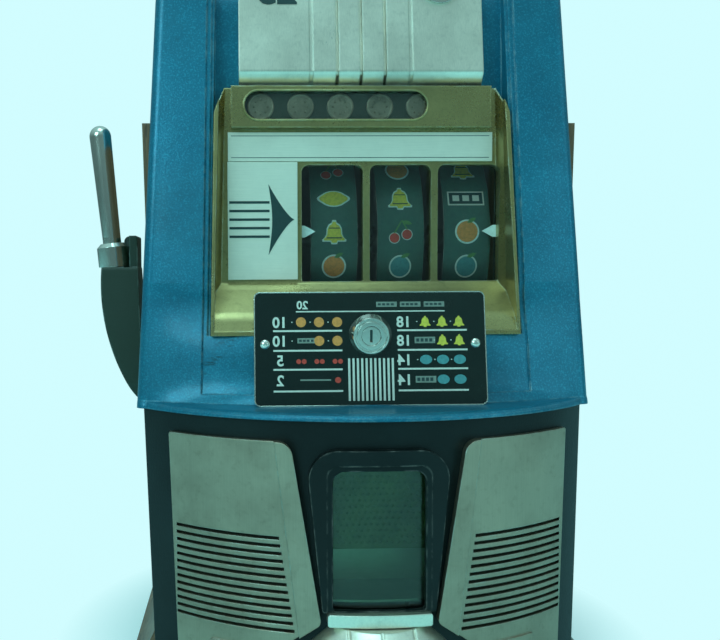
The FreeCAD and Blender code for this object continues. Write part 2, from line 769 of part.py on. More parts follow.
def grille():
    r = bow_radius - casting_setback
    panel = on_bow(grille_outline(), r, r + grille_thick)
    top, foot = grille_top_z + 1, grille_inner_low_z - 24
    band = prism([(grille_inner_high - 20, top), (grille_inner_high + roll_width, top),
                  (grille_inner_low + roll_width + 3, foot), (grille_inner_low - 20, foot)], "y", -400, 0)
    roll = on_bow(grille_outline().common(band), r, r + grille_thick + grille_roll)
    body = joined([panel, roll])
    louvre_low_z = louvre_high_z - (louvre_count - 1) * louvre_pitch
    for k in range(louvre_count):
        z = louvre_high_z - k * louvre_pitch
        inner = at_height(z, louvre_high_z, louvre_inner_high, louvre_low_z, louvre_inner_low)
        half = louvre_open / 2
        body = body.cut(box(inner, grille_outer_low + 1.0, -400, 0, z - half, z + half))
    return joined([body, grille_foot_plate()])


def grille_foot_plate():
    """The small raised plate near the foot of each grille."""
    r = bow_radius - casting_setback + grille_thick
    x0, x1, z0, z1 = grille_foot_half + 4, grille_outer_low - 28, grille_low_z + 12, grille_low_z + 36
    outline = rounded_prism([(x0, z0), (x1, z0), (x1, z1), (x0, z1)], [3] * 4, "y", -400, 0)
    return on_bow(outline, r - 1, r + 1.6)


def bezel_outline(inset):
    h1, h0 = window_bezel_half - inset, window_bezel_low_half - inset
    z1, z0 = window_bezel_top_z - inset, window_bezel_low_z
    corners = [(-h0, z0), (h0, z0), (h1, z1), (-h1, z1)]
    return rounded_prism(corners, [2, 2, 24, 24], "y", -400, 0)


def jackpot_bezel():
    r = bow_radius - casting_setback
    frame = on_bow(bezel_outline(0), r, r + 7)
    window = jackpot_opening(0, -300, -120)
    frame = frame.cut(window)
    dish = jackpot_opening(4.5, -300, bow_centre_y - r - 3.5)
    return frame.cut(dish)


def jackpot_glass():
    r = bow_radius - casting_setback
    return jackpot_opening(glass_lap, -300, -120).common(bow_shell(r - 3, r, base_z, joint_z - 2))


def jackpot_sill():
    r = bow_radius - casting_setback
    low, high = strip_low_z, window_bezel_low_z
    corners = [(-strip_half, low), (strip_half, low), (strip_half, high), (-strip_half, high)]
    return on_bow(rounded_prism(corners, [2] * 4, "y", -400, 0), r, r + 11)


def cup_section(z, half, front_y, inset):
    """One plan outline of the payout cup: a flattened nose in front of the casting."""
    h, y, back = half - inset, front_y + inset, bow_front_y + 40
    shoulder = V(h * 0.86, y + (back - y) * 0.42, z)
    nose = Part.Arc(V(-shoulder.x, shoulder.y, z), V(0, y, z), shoulder).toShape()
    cheek_y = y + (back - y) * 0.72
    right = Part.Arc(shoulder, V(h * 0.985, cheek_y, z), V(h, back, z)).toShape()
    left = Part.Arc(V(-h, back, z), V(-h * 0.985, cheek_y, z), V(-shoulder.x, shoulder.y, z)).toShape()
    return Part.Wire([nose, right, Part.makeLine(V(h, back, z), V(-h, back, z)), left])


def cup_form(stations, inset):
    return Part.makeLoft([cup_section(z, h, y, inset) for z, h, y in stations], True, False)


def payout_cup():
    """The ribbed hood and the bowl under it, where paid coins land."""
    hood = cup_form(CUP_HOOD, 0)
    bowl = cup_form(CUP_BOWL, 0)
    hood_room = cup_form(CUP_HOOD, cup_wall).common(box(-300, 300, -400, 0, 0, cup_top_z - cup_wall))
    bowl_room = cup_form(CUP_BOWL, cup_wall).common(box(-300, 300, -400, 0, cup_low_z + cup_wall, 300))
    casting = tube_z(0, joint_z, 0, bow_centre_y, bow_radius - casting_setback)
    mouth = box(-cup_mouth_half, cup_mouth_half, -400, bow_front_y - 10, cup_mouth_low_z, cup_mouth_high_z)
    hood = hood.cut(hood_room).cut(casting).cut(mouth)
    for x in (-rib_pitch, 0, rib_pitch):
        groove = box(x - rib_cut / 2, x + rib_cut / 2, -400, 0, cup_mouth_high_z + 5, 300)
        hood = hood.cut(groove.cut(cup_form(CUP_HOOD, rib_depth)))
    body = joined([hood, bowl.cut(bowl_room).cut(casting)])
    return max(body.Solids, key=lambda part: part.Volume)


# ---------------------------------------------------------------- jackpot bin and chute
def jackpot_bin():
    """The open-topped bin behind the jackpot window."""
    r = bow_radius - casting_setback - wall - 1
    half, z0, z1 = jackpot_half + 12, jackpot_low_z + 4, jackpot_high_z + 4
    y1 = bow_front_y + 62
    outer = box(-half, half, -300, y1, z0, z1).common(tube_z(z0, z1, 0, bow_centre_y, r))
    inner = box(-half + 2, half - 2, -300, y1 - 2, z0 + 2, z1 + 1)
    return outer.cut(inner)


def payout_chute():
    """A funnel-shaped trough from under the payout slides down to the cup, fixed to the casting's back."""
    y0, y1 = bow_front_y + 4, coin_tube_y + 28
    z0, z1 = cup_mouth_low_z + 14, 178.0

    def rim(grow, lift, open_top):
        rings = []
        for y, z, left, right in ((y0, z0, -30, 30), (y1, z1, coin_tube_x - 30, 40)):
            top = 40 if open_top else 16
            points = [V(left - grow, y, z + lift), V(right + grow, y, z + lift), V(right + grow, y, z + top),
                      V(left - grow, y, z + top)]
            rings.append(Part.makePolygon(points + points[:1]))
        return Part.makeLoft(rings, True, True)

    inside = tube_z(0, joint_z, 0, bow_centre_y, bow_radius - casting_setback - wall)
    return rim(2, -2, False).cut(rim(0, 0, True)).common(inside)


def cash_box():
    x, y0, y1, z0, z1 = 140, -20, 150, base_z, 112
    outer = box(-x, x, y0, y1, z0, z1)
    inner = box(-x + 1.5, x - 1.5, y0 + 1.5, y1 - 1.5, z0 + 1.5, z1 + 1)
    pull = box(-30, 30, y1, y1 + 10, z1 - 14, z1 - 11)
    return joined([outer.cut(inner), pull])


# ---------------------------------------------------------------- handle
def handle_bush():
    x_out = -board_outer(handle_z) - 4
    x_in = -board_outer(handle_z) + board_thick + 3
    bore = handle_shaft_radius + shaft_gap
    sleeve = tube_x(x_out + 4, x_in, handle_y, handle_z, handle_shaft_radius + 4, bore)
    flange = tube_x(x_out, x_out + 3.4, handle_y, handle_z, handle_shaft_radius + 14, bore)
    neck = tube_x(x_out + 3, x_out + 4.2, handle_y, handle_z, handle_shaft_radius + 4, bore)
    body = joined([sleeve, neck, flange])
    return body.cut(mirrored(side_board()).cut(tube_x(-300, 0, handle_y, handle_z, handle_shaft_radius + 4)))


def handle_shaft():
    return tube_x(handle_out_x - shaft_seat, frame_left_x - 22, handle_y, handle_z, handle_shaft_radius)


def handle_arm():
    """The cast arm: a horn that rises from the hub at the cabinet's side to the grip's collar."""
    x_in, x_far = handle_out_x, handle_out_x - arm_reach
    z_low, z_top = handle_z - 30, grip_foot().z
    foot_in, foot_out = V(x_in, 0, z_low), V(x_in - 5, 0, z_low)
    head_in, head_out = V(x_in - 5, 0, z_top), V(x_far, 0, z_top)
    swell = V(x_far + 9.5, 0, handle_z + 22)
    outline = Part.Wire([Part.makeLine(foot_in, foot_out), Part.Arc(foot_out, swell, head_out).toShape(),
                         Part.makeLine(head_out, head_in), Part.makeLine(head_in, foot_in)])
    slab = Part.Face(outline).extrude(V(0, 100, 0))
    slab.translate(V(0, handle_y - 50, 0))
    r, waist_z = handle_hub_radius, handle_z + 10
    corners = [(handle_y - r, z_low - 1), (handle_y + r, z_low - 1), (handle_y + r - 2, waist_z),
               (handle_y + 18, z_top + 1), (handle_y - 18, z_top + 1), (handle_y - r + 2, waist_z)]
    side = rounded_prism(corners, [20, 20, 30, 4, 4, 30], "x", -300, -150)
    arm = joined([slab.common(side), arm_lug()])
    return arm.cut(tube_x(x_in - shaft_seat, x_in + 1, handle_y, handle_z, handle_shaft_radius))


def arm_lug():
    """The lug beside the collar, on the arm's inner side, hollowed to clear the collar."""
    foot = grip_foot()
    x0, x1 = foot.x + 8, handle_out_x - 5.5
    z0, z1 = foot.z - 1, foot.z + lug_rise
    corners = [(x0, z0), (x1, z0), (x1, z1), (x0, z1)]
    lug = rounded_prism(corners, [0, 0, 2, 5], "y", handle_y - 14, handle_y + 17.5)
    room = Part.makeCylinder(collar_radius + running_gap, 2 * lug_rise, foot, grip_axis())
    lug = lug.cut(room.common(box(-400, 0, -400, 400, foot.z, foot.z + 200)))
    return lug.cut(box(x0 - 1, foot.x + collar_radius + 0.8, handle_y - 40, handle_y + 2, foot.z, z1 + 1))


def grip_axis():
    lean = math.radians(grip_lean)
    return V(-math.sin(lean), 0, math.cos(lean))


def grip_foot():
    return V(handle_out_x - grip_foot_out, handle_y, handle_z + arm_rise)


def handle_collar():
    a = grip_axis()
    foot = grip_foot()
    ring = Part.makeCylinder(collar_radius, collar_height, foot, a)
    ring = ring.cut(box(-400, 0, -400, 400, foot.z - 20, foot.z))
    bead = Part.makeCone(collar_radius, collar_radius - 4, 4, foot + a * collar_height, a)
    whole = joined([ring, bead])
    return whole.cut(Part.makeCylinder(grip_radius_low, 60, foot + a * (collar_height - 8), a))


def handle_grip():
    a = grip_axis()
    start = grip_foot() + a * (collar_height - 8)
    length = grip_length + 8
    straight = Part.makeCone(grip_radius_low, grip_radius_high, length - 18, start + a * 18, a)
    tang = Part.makeCylinder(grip_radius_low, 18, start, a)
    tip = Part.makeSphere(grip_radius_high, start + a * length)
    return joined([tang, straight, tip])


def drive_crank():
    x = frame_left_x - 22
    low, high = handle_z - 12, handle_z + 46
    corners = [(handle_y - 10, low), (handle_y + 10, low), (handle_y + 8, high), (handle_y - 8, high)]
    arm = rounded_prism(corners, [8, 8, 7, 7], "x", x, x + 6)
    pin = tube_x(x + 6, x + 13, handle_y, handle_z + 38, 4)
    return joined([arm, pin])


# ---------------------------------------------------------------- mechanism
def mechanism_floor():
    y0, y1 = -56, 142
    x0, x1 = coin_tube_x - 32, frame_right_x + 8
    plate = box(x0, x1, y0, y1, mech_floor_z, mech_floor_z + mech_floor_thick)
    drop_y = coin_tube_y - payout_travel
    drop = tube_z(mech_floor_z - 1, mech_floor_z + 20, coin_tube_x, drop_y, coin_radius + 2)
    return joined([plate, slide_guides(), fan_bracket()]).cut(drop)


def side_plate_outline(x0):
    y0, y1 = -40, reel_y + reel_radius - 6
    z0, z1 = mech_floor_z + mech_floor_thick, reel_z + 30
    corners = [(y0, z0), (y1, z0), (y1, z0 + 90), (reel_y + 34, z1), (reel_y - 34, z1), (y0, z0 + 90)]
    plate = rounded_prism(corners, [4, 4, 20, 20, 20, 20], "x", x0, x0 + side_plate_thick)
    light = tube_x(x0 - 1, x0 + 10, reel_y, z0 + 62, 30)
    seat = tube_x(x0 - 1, x0 + 10, reel_y, reel_z, reel_shaft_radius)
    lever_seat = tube_x(x0 - 1, x0 + 10, lever_pivot()[0], lever_pivot()[1], 4)
    return plate.cut(light).cut(seat).cut(lever_seat)


def side_plate_left():
    return side_plate_outline(frame_left_x - side_plate_thick)


def side_plate_right():
    return side_plate_outline(frame_right_x)


def reel_shaft():
    return tube_x(frame_left_x - 10, frame_right_x + 12, reel_y, reel_z, reel_shaft_radius)


def reel(i):
    """A pressed drum on its hub, with the star wheel riveted to the hub's end."""
    x = reel_xs[i]
    half = reel_width / 2
    rim = tube_x(x - half, x + half, reel_y, reel_z, reel_radius, reel_radius - 1.5)
    disc = tube_x(x - 1, x + 1, reel_y, reel_z, reel_radius - 1)
    for k in range(6):
        angle = math.radians(60 * k)
        hole_y, hole_z = reel_y + 58 * math.cos(angle), reel_z + 58 * math.sin(angle)
        disc = disc.cut(tube_x(x - 3, x + 3, hole_y, hole_z, 21))
    hub = tube_x(x - 12, x + star_offset - 1, reel_y, reel_z, hub_radius)
    bore = tube_x(x - 60, x + 60, reel_y, reel_z, reel_shaft_radius + shaft_gap)
    return Part.makeCompound([joined([rim, disc, hub]).cut(bore), star_wheel(i).cut(bore)])


def reel_strip(i):
    x = reel_xs[i]
    half = reel_width / 2
    return tube_x(x - half + 0.4, x + half - 0.4, reel_y, reel_z, reel_radius + strip_thick, reel_radius)


def star_wheel(i):
    x = reel_xs[i] + star_offset
    step = 2 * math.pi / star_teeth
    points = []
    for k in range(star_teeth):
        for radius, angle in ((star_radius, k * step), (star_radius - 7, (k + 0.2) * step)):
            points.append((reel_y + radius * math.cos(angle), reel_z + radius * math.sin(angle)))
    return prism(points, "x", x - 1, x + 4)


def lever_pivot():
    reach = reel_radius + 26
    return reel_y + 0.6 * reach, reel_z - 0.8 * reach


def stop_lever_shaft():
    y, z = lever_pivot()
    return tube_x(frame_left_x - 6, frame_right_x + 8, y, z, 4)


def stop_lever(i):
    """A bell lever whose nose waits just outside the star wheel's teeth."""
    x = reel_xs[i] + star_offset
    y, z = lever_pivot()
    away = reel_radius + 26
    u = V(0, -0.6, 0.8)
    w = V(0, 0.8, 0.6)
    foot = V(0, y, z)
    nose = foot + u * (away - star_radius - 1.2)
    corners = [foot - w * 6, nose - w * 3, nose, nose - u * 8 + w * 4, foot + w * 6, foot + w * 26 - u * 4,
               foot + w * 26 - u * 12, foot - u * 10]
    bar = prism([(p.y, p.z) for p in corners], "x", x + 0.3, x + 3.7)
    boss = tube_x(x - 2, x + 6, y, z, 8)
    return joined([bar, boss]).cut(tube_x(x - 5, x + 10, y, z, 4 + shaft_gap))


def coin_tube():
    """The upright tube that holds the coins to be paid."""
    bore = coin_radius + 0.6
    z0 = mech_floor_z + mech_floor_thick + 8.6
    return tube_z(z0, coin_tube_top_z, coin_tube_x, coin_tube_y, bore + coin_tube_wall, bore)


def tube_bracket():
    outer = coin_radius + 0.6 + coin_tube_wall
    z0, z1 = 330.0, 338.0
    ring = tube_z(z0, z1, coin_tube_x, coin_tube_y, outer + 5, outer)
    arm = box(coin_tube_x, frame_left_x - side_plate_thick, coin_tube_y - 8, coin_tube_y + 8, z0, z1)
    arm = arm.cut(tube_z(z0 - 1, z1 + 1, coin_tube_x, coin_tube_y, outer + 1))
    pad_x = frame_left_x - side_plate_thick
    pad = box(pad_x - 3, pad_x, coin_tube_y - 12, coin_tube_y + 12, z0 - 34, z1)
    return joined([ring, arm, pad])


def payout_slides():
    """The stack of slides that draws coins from under the coin tube."""
    z0 = mech_floor_z + mech_floor_thick + running_gap
    blades = []
    for k in range(3):
        low = z0 + k * 2.6
        back = coin_tube_y + 60 - 6 * k
        blades.append(box(coin_tube_x - 18, coin_tube_x + 18, coin_tube_y - 16, back, low, low + 2.3))
    spine = box(coin_tube_x - 18, coin_tube_x + 18, coin_tube_y + 40, coin_tube_y + 46, z0, z0 + 12)
    return joined(blades + [spine])


def slide_guides():
    z0 = mech_floor_z + mech_floor_thick
    guides = []
    for side in (-1, 1):
        x = coin_tube_x + side * (18 + running_gap)
        x0, x1 = (x, x + 6) if side > 0 else (x - 6, x)
        guides.append(box(x0, x1, coin_tube_y - 42, coin_tube_y + 38, z0 - 1, z0 + 14))
    return joined(guides)


def fan_place():
    return frame_left_x + 40, reel_y + reel_radius - 34, mech_floor_z + mech_floor_thick + 34


def governor_fan():
    x, y, z = fan_place()
    hub = tube_x(x - 14, x + 14, y, z, 6, 3 + shaft_gap)
    blades = []
    for k in range(4):
        blade = box(x - 9, x + 9, y - 0.7, y + 0.7, z + 5, z + 22)
        blade.rotate(V(x, y, z), V(1, 0, 0), 90 * k + 20)
        blades.append(blade)
    return joined([hub] + blades)


def fan_bracket():
    x, y, z = fan_place()
    z0 = mech_floor_z + mech_floor_thick
    ears = [box(x + s * 18 - 2, x + s * 18 + 2, y - 9, y + 9, z0 - 1, z + 9) for s in (-1, 1)]
    pin = tube_x(x - 20, x + 20, y, z, 3)
    return joined(ears + [pin])


# ---------------------------------------------------------------- rear door
def door_half(z):
    return board_outer(z) - board_thick - door_gap


def hinge_axis():
    return -(board_outer(board_top_z) - board_thick - 1.0), cabinet_back_y + 5.0


def rear_door():
    z0, z1 = base_z + door_gap, board_top_z - door_gap
    panel = prism([(-door_half(z0), z0), (door_half(z0), z0), (door_half(z1), z1), (-door_half(z1), z1)],
                  "y", door_y, cabinet_back_y)
    vents = [box(-60, 60, door_y - 5, cabinet_back_y + 5, 440 - 14 * k, 446 - 14 * k) for k in range(5)]
    for vent in vents:
        panel = panel.cut(vent)
    return panel.cut(tube_y(door_y - 5, cabinet_back_y + 5, door_lock_x(), 290, 9 + running_gap))


def door_lock_x():
    return door_half(290) - 26


def knuckle(z0, z1, leaf_x0, leaf_x1):
    """One knuckle of a hinge with its leaf, which reaches from the pin to the edge of the board."""
    x, y = hinge_axis()
    barrel = tube_z(z0, z1, x, y, 4.5)
    leaf = box(leaf_x0, leaf_x1, cabinet_back_y, cabinet_back_y + 2, z0, z1)
    return joined([barrel, leaf]).cut(tube_z(z0 - 1, z1 + 1, x, y, 2 + shaft_gap))


HINGE_HEIGHTS = (130.0, 420.0)


def hinge_leaves_fixed():
    x, _ = hinge_axis()
    leaves = []
    for z in HINGE_HEIGHTS:
        outer = min(-(board_outer(z) - 1), x - 8)
        leaves.append(knuckle(z, z + 14, outer, x))
        leaves.append(knuckle(z + 28.6, z + 42.6, outer, x))
        leaves.append(tube_z(z - 3, z + 45.6, x, hinge_axis()[1], 2))
    return Part.makeCompound(leaves)


def hinge_leaves_door():
    x, _ = hinge_axis()
    leaves = [knuckle(z + 14.3, z + 28.3, x, x + 26) for z in HINGE_HEIGHTS]
    return Part.makeCompound(leaves)


def door_lock():
    x = door_lock_x()
    head = tube_y(cabinet_back_y, cabinet_back_y + 4, x, 290, 13)
    body = tube_y(door_y - 6, cabinet_back_y + 1, x, 290, 9)
    cam = box(x - 5, x + 5, door_y - 9, door_y - 6, 285, 312)
    slot = box(x - 1, x + 1, cabinet_back_y + 1, cabinet_back_y + 5, 285, 295)
    return joined([head, body, cam]).cut(slot)


# ---------------------------------------------------------------- assembly
PARTS = {
    "side_board_handle": handle_board,
    "side_board_plain": side_board,
    "base_board": base_board,
    "plinth_plain": plinth_side,
    "plinth_handle": lambda: mirrored(plinth_side()),
    "mechanism_rails": mechanism_rails,
    "upper_casting": upper_casting,
    "head_panel": head_panel,
    "button_bezel": button_bezel,
    "return_button": return_button,
    "reel_frame": reel_frame,
    "reel_glass": reel_glass,
    "reel_pointers": pointers,
    "escalator_glass": escalator_glass,
    "escalator_track": escalator_track,
    "escalator_coins": escalator_coins,
    "name_plate": name_plate,
    "arrow_plate": arrow_plate,
    "card_holder": card_holder,
    "award_card": award_card,
    "card_screws": card_screws,
    "lock_ring": lock_ring,
    "lock_plug": lock_plug,
    "lower_casting": lower_casting,
    "grille_plain": grille,
    "grille_handle": lambda: mirrored(grille()),
    "jackpot_bezel": jackpot_bezel,
    "jackpot_glass": jackpot_glass,
    "jackpot_sill": jackpot_sill,
    "jackpot_bin": jackpot_bin,
    "payout_cup": payout_cup,
    "payout_chute": payout_chute,
    "cash_box": cash_box,
    "handle_bush": handle_bush,
    "handle_shaft": handle_shaft,
    "handle_arm": handle_arm,
    "handle_collar": handle_collar,
    "handle_grip": handle_grip,
    "drive_crank": drive_crank,
    "mechanism_floor": mechanism_floor,
    "mechanism_sides": lambda: Part.makeCompound([side_plate_left(), side_plate_right()]),
    "reel_shaft": reel_shaft,
    "reel_1": lambda: reel(0),
    "reel_2": lambda: reel(1),
    "reel_3": lambda: reel(2),
    "reel_strip_1": lambda: reel_strip(0),
    "reel_strip_2": lambda: reel_strip(1),
    "reel_strip_3": lambda: reel_strip(2),
    "stop_lever_shaft": stop_lever_shaft,
    "stop_lever_1": lambda: stop_lever(0),
    "stop_lever_2": lambda: stop_lever(1),
    "stop_lever_3": lambda: stop_lever(2),
    "coin_tube": coin_tube,
    "tube_bracket": tube_bracket,
    "payout_slides": payout_slides,
    "governor_fan": governor_fan,
    "rear_door": rear_door,
    "hinge_leaves_fixed": hinge_leaves_fixed,
    "hinge_leaves_door": hinge_leaves_door,
    "door_lock": door_lock,
}


if __name__ == "__main__":
    os.makedirs("parts", exist_ok=True)
    for name, make in PARTS.items():
        shape = make()
        shape.exportStep(os.path.join("parts", name + ".step"))
        print(name, len(shape.Solids), round(shape.Volume / 1000, 1), shape.isValid())
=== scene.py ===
"""Looks for a mechanical slot machine: finishes, printing, reel symbols and small trim.

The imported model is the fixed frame. Every piece here is in metres in that frame and rides on one
of its bodies. Materials are node-based, and what repeats is made with Geometry Nodes.
"""
import math

import bmesh
import bpy
from mathutils import Matrix, Vector


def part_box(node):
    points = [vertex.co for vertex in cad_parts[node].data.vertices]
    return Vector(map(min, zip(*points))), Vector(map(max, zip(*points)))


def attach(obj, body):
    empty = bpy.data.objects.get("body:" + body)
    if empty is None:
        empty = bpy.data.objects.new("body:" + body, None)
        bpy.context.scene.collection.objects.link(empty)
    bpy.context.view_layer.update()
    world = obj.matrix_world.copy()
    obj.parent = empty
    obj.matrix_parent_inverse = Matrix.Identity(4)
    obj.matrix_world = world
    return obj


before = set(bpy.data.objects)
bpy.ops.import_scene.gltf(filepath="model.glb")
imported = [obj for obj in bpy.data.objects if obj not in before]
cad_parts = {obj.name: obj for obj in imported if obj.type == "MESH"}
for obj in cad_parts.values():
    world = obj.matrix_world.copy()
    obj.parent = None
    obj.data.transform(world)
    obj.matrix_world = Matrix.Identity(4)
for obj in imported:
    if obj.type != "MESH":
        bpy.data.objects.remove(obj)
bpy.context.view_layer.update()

bl_info = {
    "name": "Slot Machine Looks",
    "version": (1, 0, 0),
    "blender": (4, 5, 0),
    "location": "View3D > Sidebar > Slot Machine",
    "description": "Finishes, printing and trim for a mechanical slot machine",
    "category": "Object",
}

MM = 0.001
CARD_LOW, CARD_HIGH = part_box("award_card")
STRIP_LOW, STRIP_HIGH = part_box("reel_strip_1")
REEL_Y = (STRIP_LOW[1] + STRIP_HIGH[1]) / 2
REEL_Z = (STRIP_LOW[2] + STRIP_HIGH[2]) / 2
REEL_RADIUS = (STRIP_HIGH[2] - STRIP_LOW[2]) / 2


# ------------------------------------------------------------------ settings
def colour(label, about, default):
    return bpy.props.FloatVectorProperty(name=label, description=about, subtype="COLOR", size=4,
                                         min=0.0, max=1.0, default=(*default, 1.0))


def length(label, about, default):
    return bpy.props.FloatProperty(name=label, description=about, subtype="DISTANCE", unit="LENGTH",
                                   min=0.0, default=default)


class MachineFinishes(bpy.types.PropertyGroup):
    """Colours of the machine's finishes"""
    enamel: colour("Hammered Enamel", "Blue of the upper casting", (0.004, 0.135, 0.225))
    enamel_fleck: colour("Enamel Fleck", "Lighter flecks in the blue", (0.022, 0.290, 0.420))
    gold: colour("Gold Lacquer", "Lacquer on the reel frame", (0.430, 0.345, 0.150))
    aluminium: colour("Aluminium", "Bare plates and panels", (0.960, 0.880, 0.740))
    grille: colour("Grille Aluminium", "Duller aluminium of the grilles", (0.430, 0.340, 0.250))
    black: colour("Black Casting", "Lower casting", (0.0025, 0.006, 0.006))
    chrome: colour("Chrome", "Plated handle, lock and trim", (0.780, 0.740, 0.660))
    brass: colour("Brass", "Button, bush and hinges", (0.640, 0.440, 0.150))
    steel: colour("Mechanism Steel", "Zinc-plated mechanism", (0.480, 0.450, 0.400))
    arm: colour("Arm Paint", "Dark paint on the handle arm", (0.012, 0.030, 0.016))
    oak: colour("Oak", "Light grain of the wooden cabinet", (0.300, 0.150, 0.070))
    oak_dark: colour("Oak Pores", "Dark grain of the wooden cabinet", (0.085, 0.036, 0.016))
    card: colour("Card Ground", "Ground of the award card", (0.004, 0.014, 0.012))
    ink: colour("White Ink", "Numbers and lines on the card", (0.800, 0.780, 0.680))
    strip: colour("Reel Ground", "Ground of the reel strips", (0.045, 0.130, 0.105))
    orange: colour("Orange", "Oranges", (0.900, 0.330, 0.080))
    yellow: colour("Yellow", "Bells and lemons", (0.850, 0.680, 0.080))
    plum: colour("Plum", "Plums", (0.090, 0.330, 0.350))
    cherry: colour("Cherry", "Cherries", (0.750, 0.070, 0.045))
    leaf: colour("Leaf", "Leaves and stalks", (0.110, 0.300, 0.080))


class MachineSizes(bpy.types.PropertyGroup):
    """Sizes of the printed and applied detail"""
    ink_thick: length("Ink Thickness", "How far printing stands off its plate", 0.00018)
    symbol_pitch: bpy.props.IntProperty(name="Symbols", description="Symbols round one reel", min=5,
                                        default=20)
    symbol_size: length("Symbol Size", "Half the height of a reel symbol", 0.0115)
    line_thick: length("Line Thickness", "Thickness of the lines printed on the card", 0.0015)
    digit_height: length("Digit Height", "Height of the numbers on the card", 0.0088)
    figure_height: length("Figure Height", "Height of the figures on the head panel", 0.026)
    screw_radius: length("Screw Radius", "Head radius of the small screws", 0.0032)
    hole_pitch: length("Hole Pitch", "Pitch of the holes in the jackpot screen", 0.0050)


class MachineStage(bpy.types.PropertyGroup):
    """Camera and surroundings"""
    backdrop: colour("Backdrop", "Colour of the surroundings", (0.640, 0.980, 1.000))
    sky: colour("Sky Light", "Tint of the soft light from all round", (0.480, 0.960, 1.000))
    lens: bpy.props.FloatProperty(name="Lens", description="Focal length", subtype="DISTANCE_CAMERA",
                                  min=1.0, default=41.75)
    key_power: bpy.props.FloatProperty(name="Key Light", description="Power of the main soft light",
                                       subtype="POWER", min=0.0, default=19.0)


# ------------------------------------------------------------------ shader node helpers
FLOAT, COLOR, VECTOR = "NodeSocketFloat", "NodeSocketColor", "NodeSocketVector"


def plug(tree, node, values):
    """Each input, by name or place, is linked to a socket or given a value."""
    for name, value in values.items():
        if isinstance(value, bpy.types.NodeSocket):
            tree.links.new(value, node.inputs[name])
        else:
            node.inputs[name].default_value = value


def add(tree, kind, values=None, **settings):
    """A node with its settings made and its inputs plugged."""
    node = tree.nodes.new(kind)
    for name, value in settings.items():
        setattr(node, name, value)
    plug(tree, node, values or {})
    return node


def shader_group(name, inputs, outputs):
    """An empty shader group with (name, type, default) inputs and (name, type) outputs."""
    group = bpy.data.node_groups.new(name, "ShaderNodeTree")
    for label, kind, default in inputs:
        group.interface.new_socket(name=label, in_out="INPUT", socket_type=kind).default_value = default
    for label, kind in outputs:
        group.interface.new_socket(name=label, in_out="OUTPUT", socket_type=kind)
    return group, group.nodes.new("NodeGroupInput").outputs, group.nodes.new("NodeGroupOutput")


def ramp(tree, value, low, high):
    """A value stretched so that low becomes 0 and high becomes 1, held at both ends."""
    return add(tree, "ShaderNodeMapRange", {"Value": value, "From Min": low,
                                            "From Max": high}).outputs["Result"]


def mix(tree, factor, a, b):
    """A colour between a and b."""
    return add(tree, "ShaderNodeMix", {0: factor, 6: a, 7: b}, data_type="RGBA").outputs[2]


def maths(tree, operation, *values):
    return add(tree, "ShaderNodeMath", dict(enumerate(values)), operation=operation).outputs[0]


def times(tree, a, b):
    return maths(tree, "MULTIPLY", a, b)


def plus(tree, a, b):
    return maths(tree, "ADD", a, b)


def vectors(tree, operation, values):
    return add(tree, "ShaderNodeVectorMath", values, operation=operation).outputs


def object_point(tree):
    return add(tree, "ShaderNodeTexCoord").outputs["Object"]


def noise(tree, point, scale, detail=4.0, rough=0.55):
    return add(tree, "ShaderNodeTexNoise", {"Vector": point, "Scale": scale, "Detail": detail,
                                            "Roughness": rough}).outputs["Fac"]


# ------------------------------------------------------------------ shared effects
def grime_group():
    """Slow blotches and fine specks of dirt that darken and dull a surface."""
    group, given, sink = shader_group("Grime", [
        ("Colour", COLOR, (0.5, 0.5, 0.5, 1)), ("Dirt", COLOR, (0.02, 0.03, 0.02, 1)), ("Amount", FLOAT, 0.4),
        ("Roughness", FLOAT, 0.4)], [("Colour", COLOR), ("Roughness", FLOAT)])
    point = object_point(group)
    slow = ramp(group, noise(group, point, 9.0, 6.0, 0.65), 0.42, 0.72)
    fine = ramp(group, noise(group, point, 160.0, 3.0, 0.6), 0.55, 0.75)
    mask = times(group, plus(group, times(group, slow, 0.75), times(group, fine, 0.30)), given["Amount"])
    plug(group, sink, {"Colour": mix(group, mask, given["Colour"], given["Dirt"]),
                       "Roughness": plus(group, given["Roughness"], times(group, mask, 0.35))})
    return group


def edge_group():
    """Edge wear and painted edge highlight: a mask that is high where the rounded edge turns away from the
    flat face.
    """
    group, given, sink = shader_group("Edge Wear And Highlight", [
        ("Width", FLOAT, 0.0015), ("Scale", FLOAT, 90.0), ("Amount", FLOAT, 1.0)],
        [("Mask", FLOAT), ("Normal", VECTOR)])
    bevel = add(group, "ShaderNodeBevel", {"Radius": given["Width"]}, samples=4).outputs[0]
    plain = add(group, "ShaderNodeNewGeometry").outputs["Normal"]
    edge = ramp(group, vectors(group, "DOT_PRODUCT", {0: bevel, 1: plain})["Value"], 0.995, 0.86)
    broken = ramp(group, noise(group, object_point(group), given["Scale"], 5.0, 0.7), 0.44, 0.60)
    plug(group, sink, {"Mask": times(group, times(group, edge, broken), given["Amount"]), "Normal": bevel})
    return group


def hammer_group():
    """Hammered enamel: small dimples with lighter flecks and slow drifts of tone."""
    group, given, sink = shader_group("Hammered Enamel", [
        ("Deep", COLOR, (0, 0.1, 0.2, 1)), ("Fleck", COLOR, (0.1, 0.3, 0.4, 1)), ("Scale", FLOAT, 800.0)],
        [("Colour", COLOR), ("Height", FLOAT)])
    point = object_point(group)
    cells = add(group, "ShaderNodeTexVoronoi", {"Vector": point, "Scale": given["Scale"], "Smoothness": 0.8},
                feature="SMOOTH_F1")
    speck = ramp(group, noise(group, point, 620.0, 2.0, 0.6), 0.50, 0.68)
    drift = ramp(group, noise(group, point, 14.0, 5.0, 0.6), 0.30, 0.75)
    tone = plus(group, times(group, speck, 0.55), times(group, drift, 0.38))
    plug(group, sink, {"Colour": mix(group, tone, given["Deep"], given["Fleck"]),
                       "Height": cells.outputs["Distance"]})
    return group


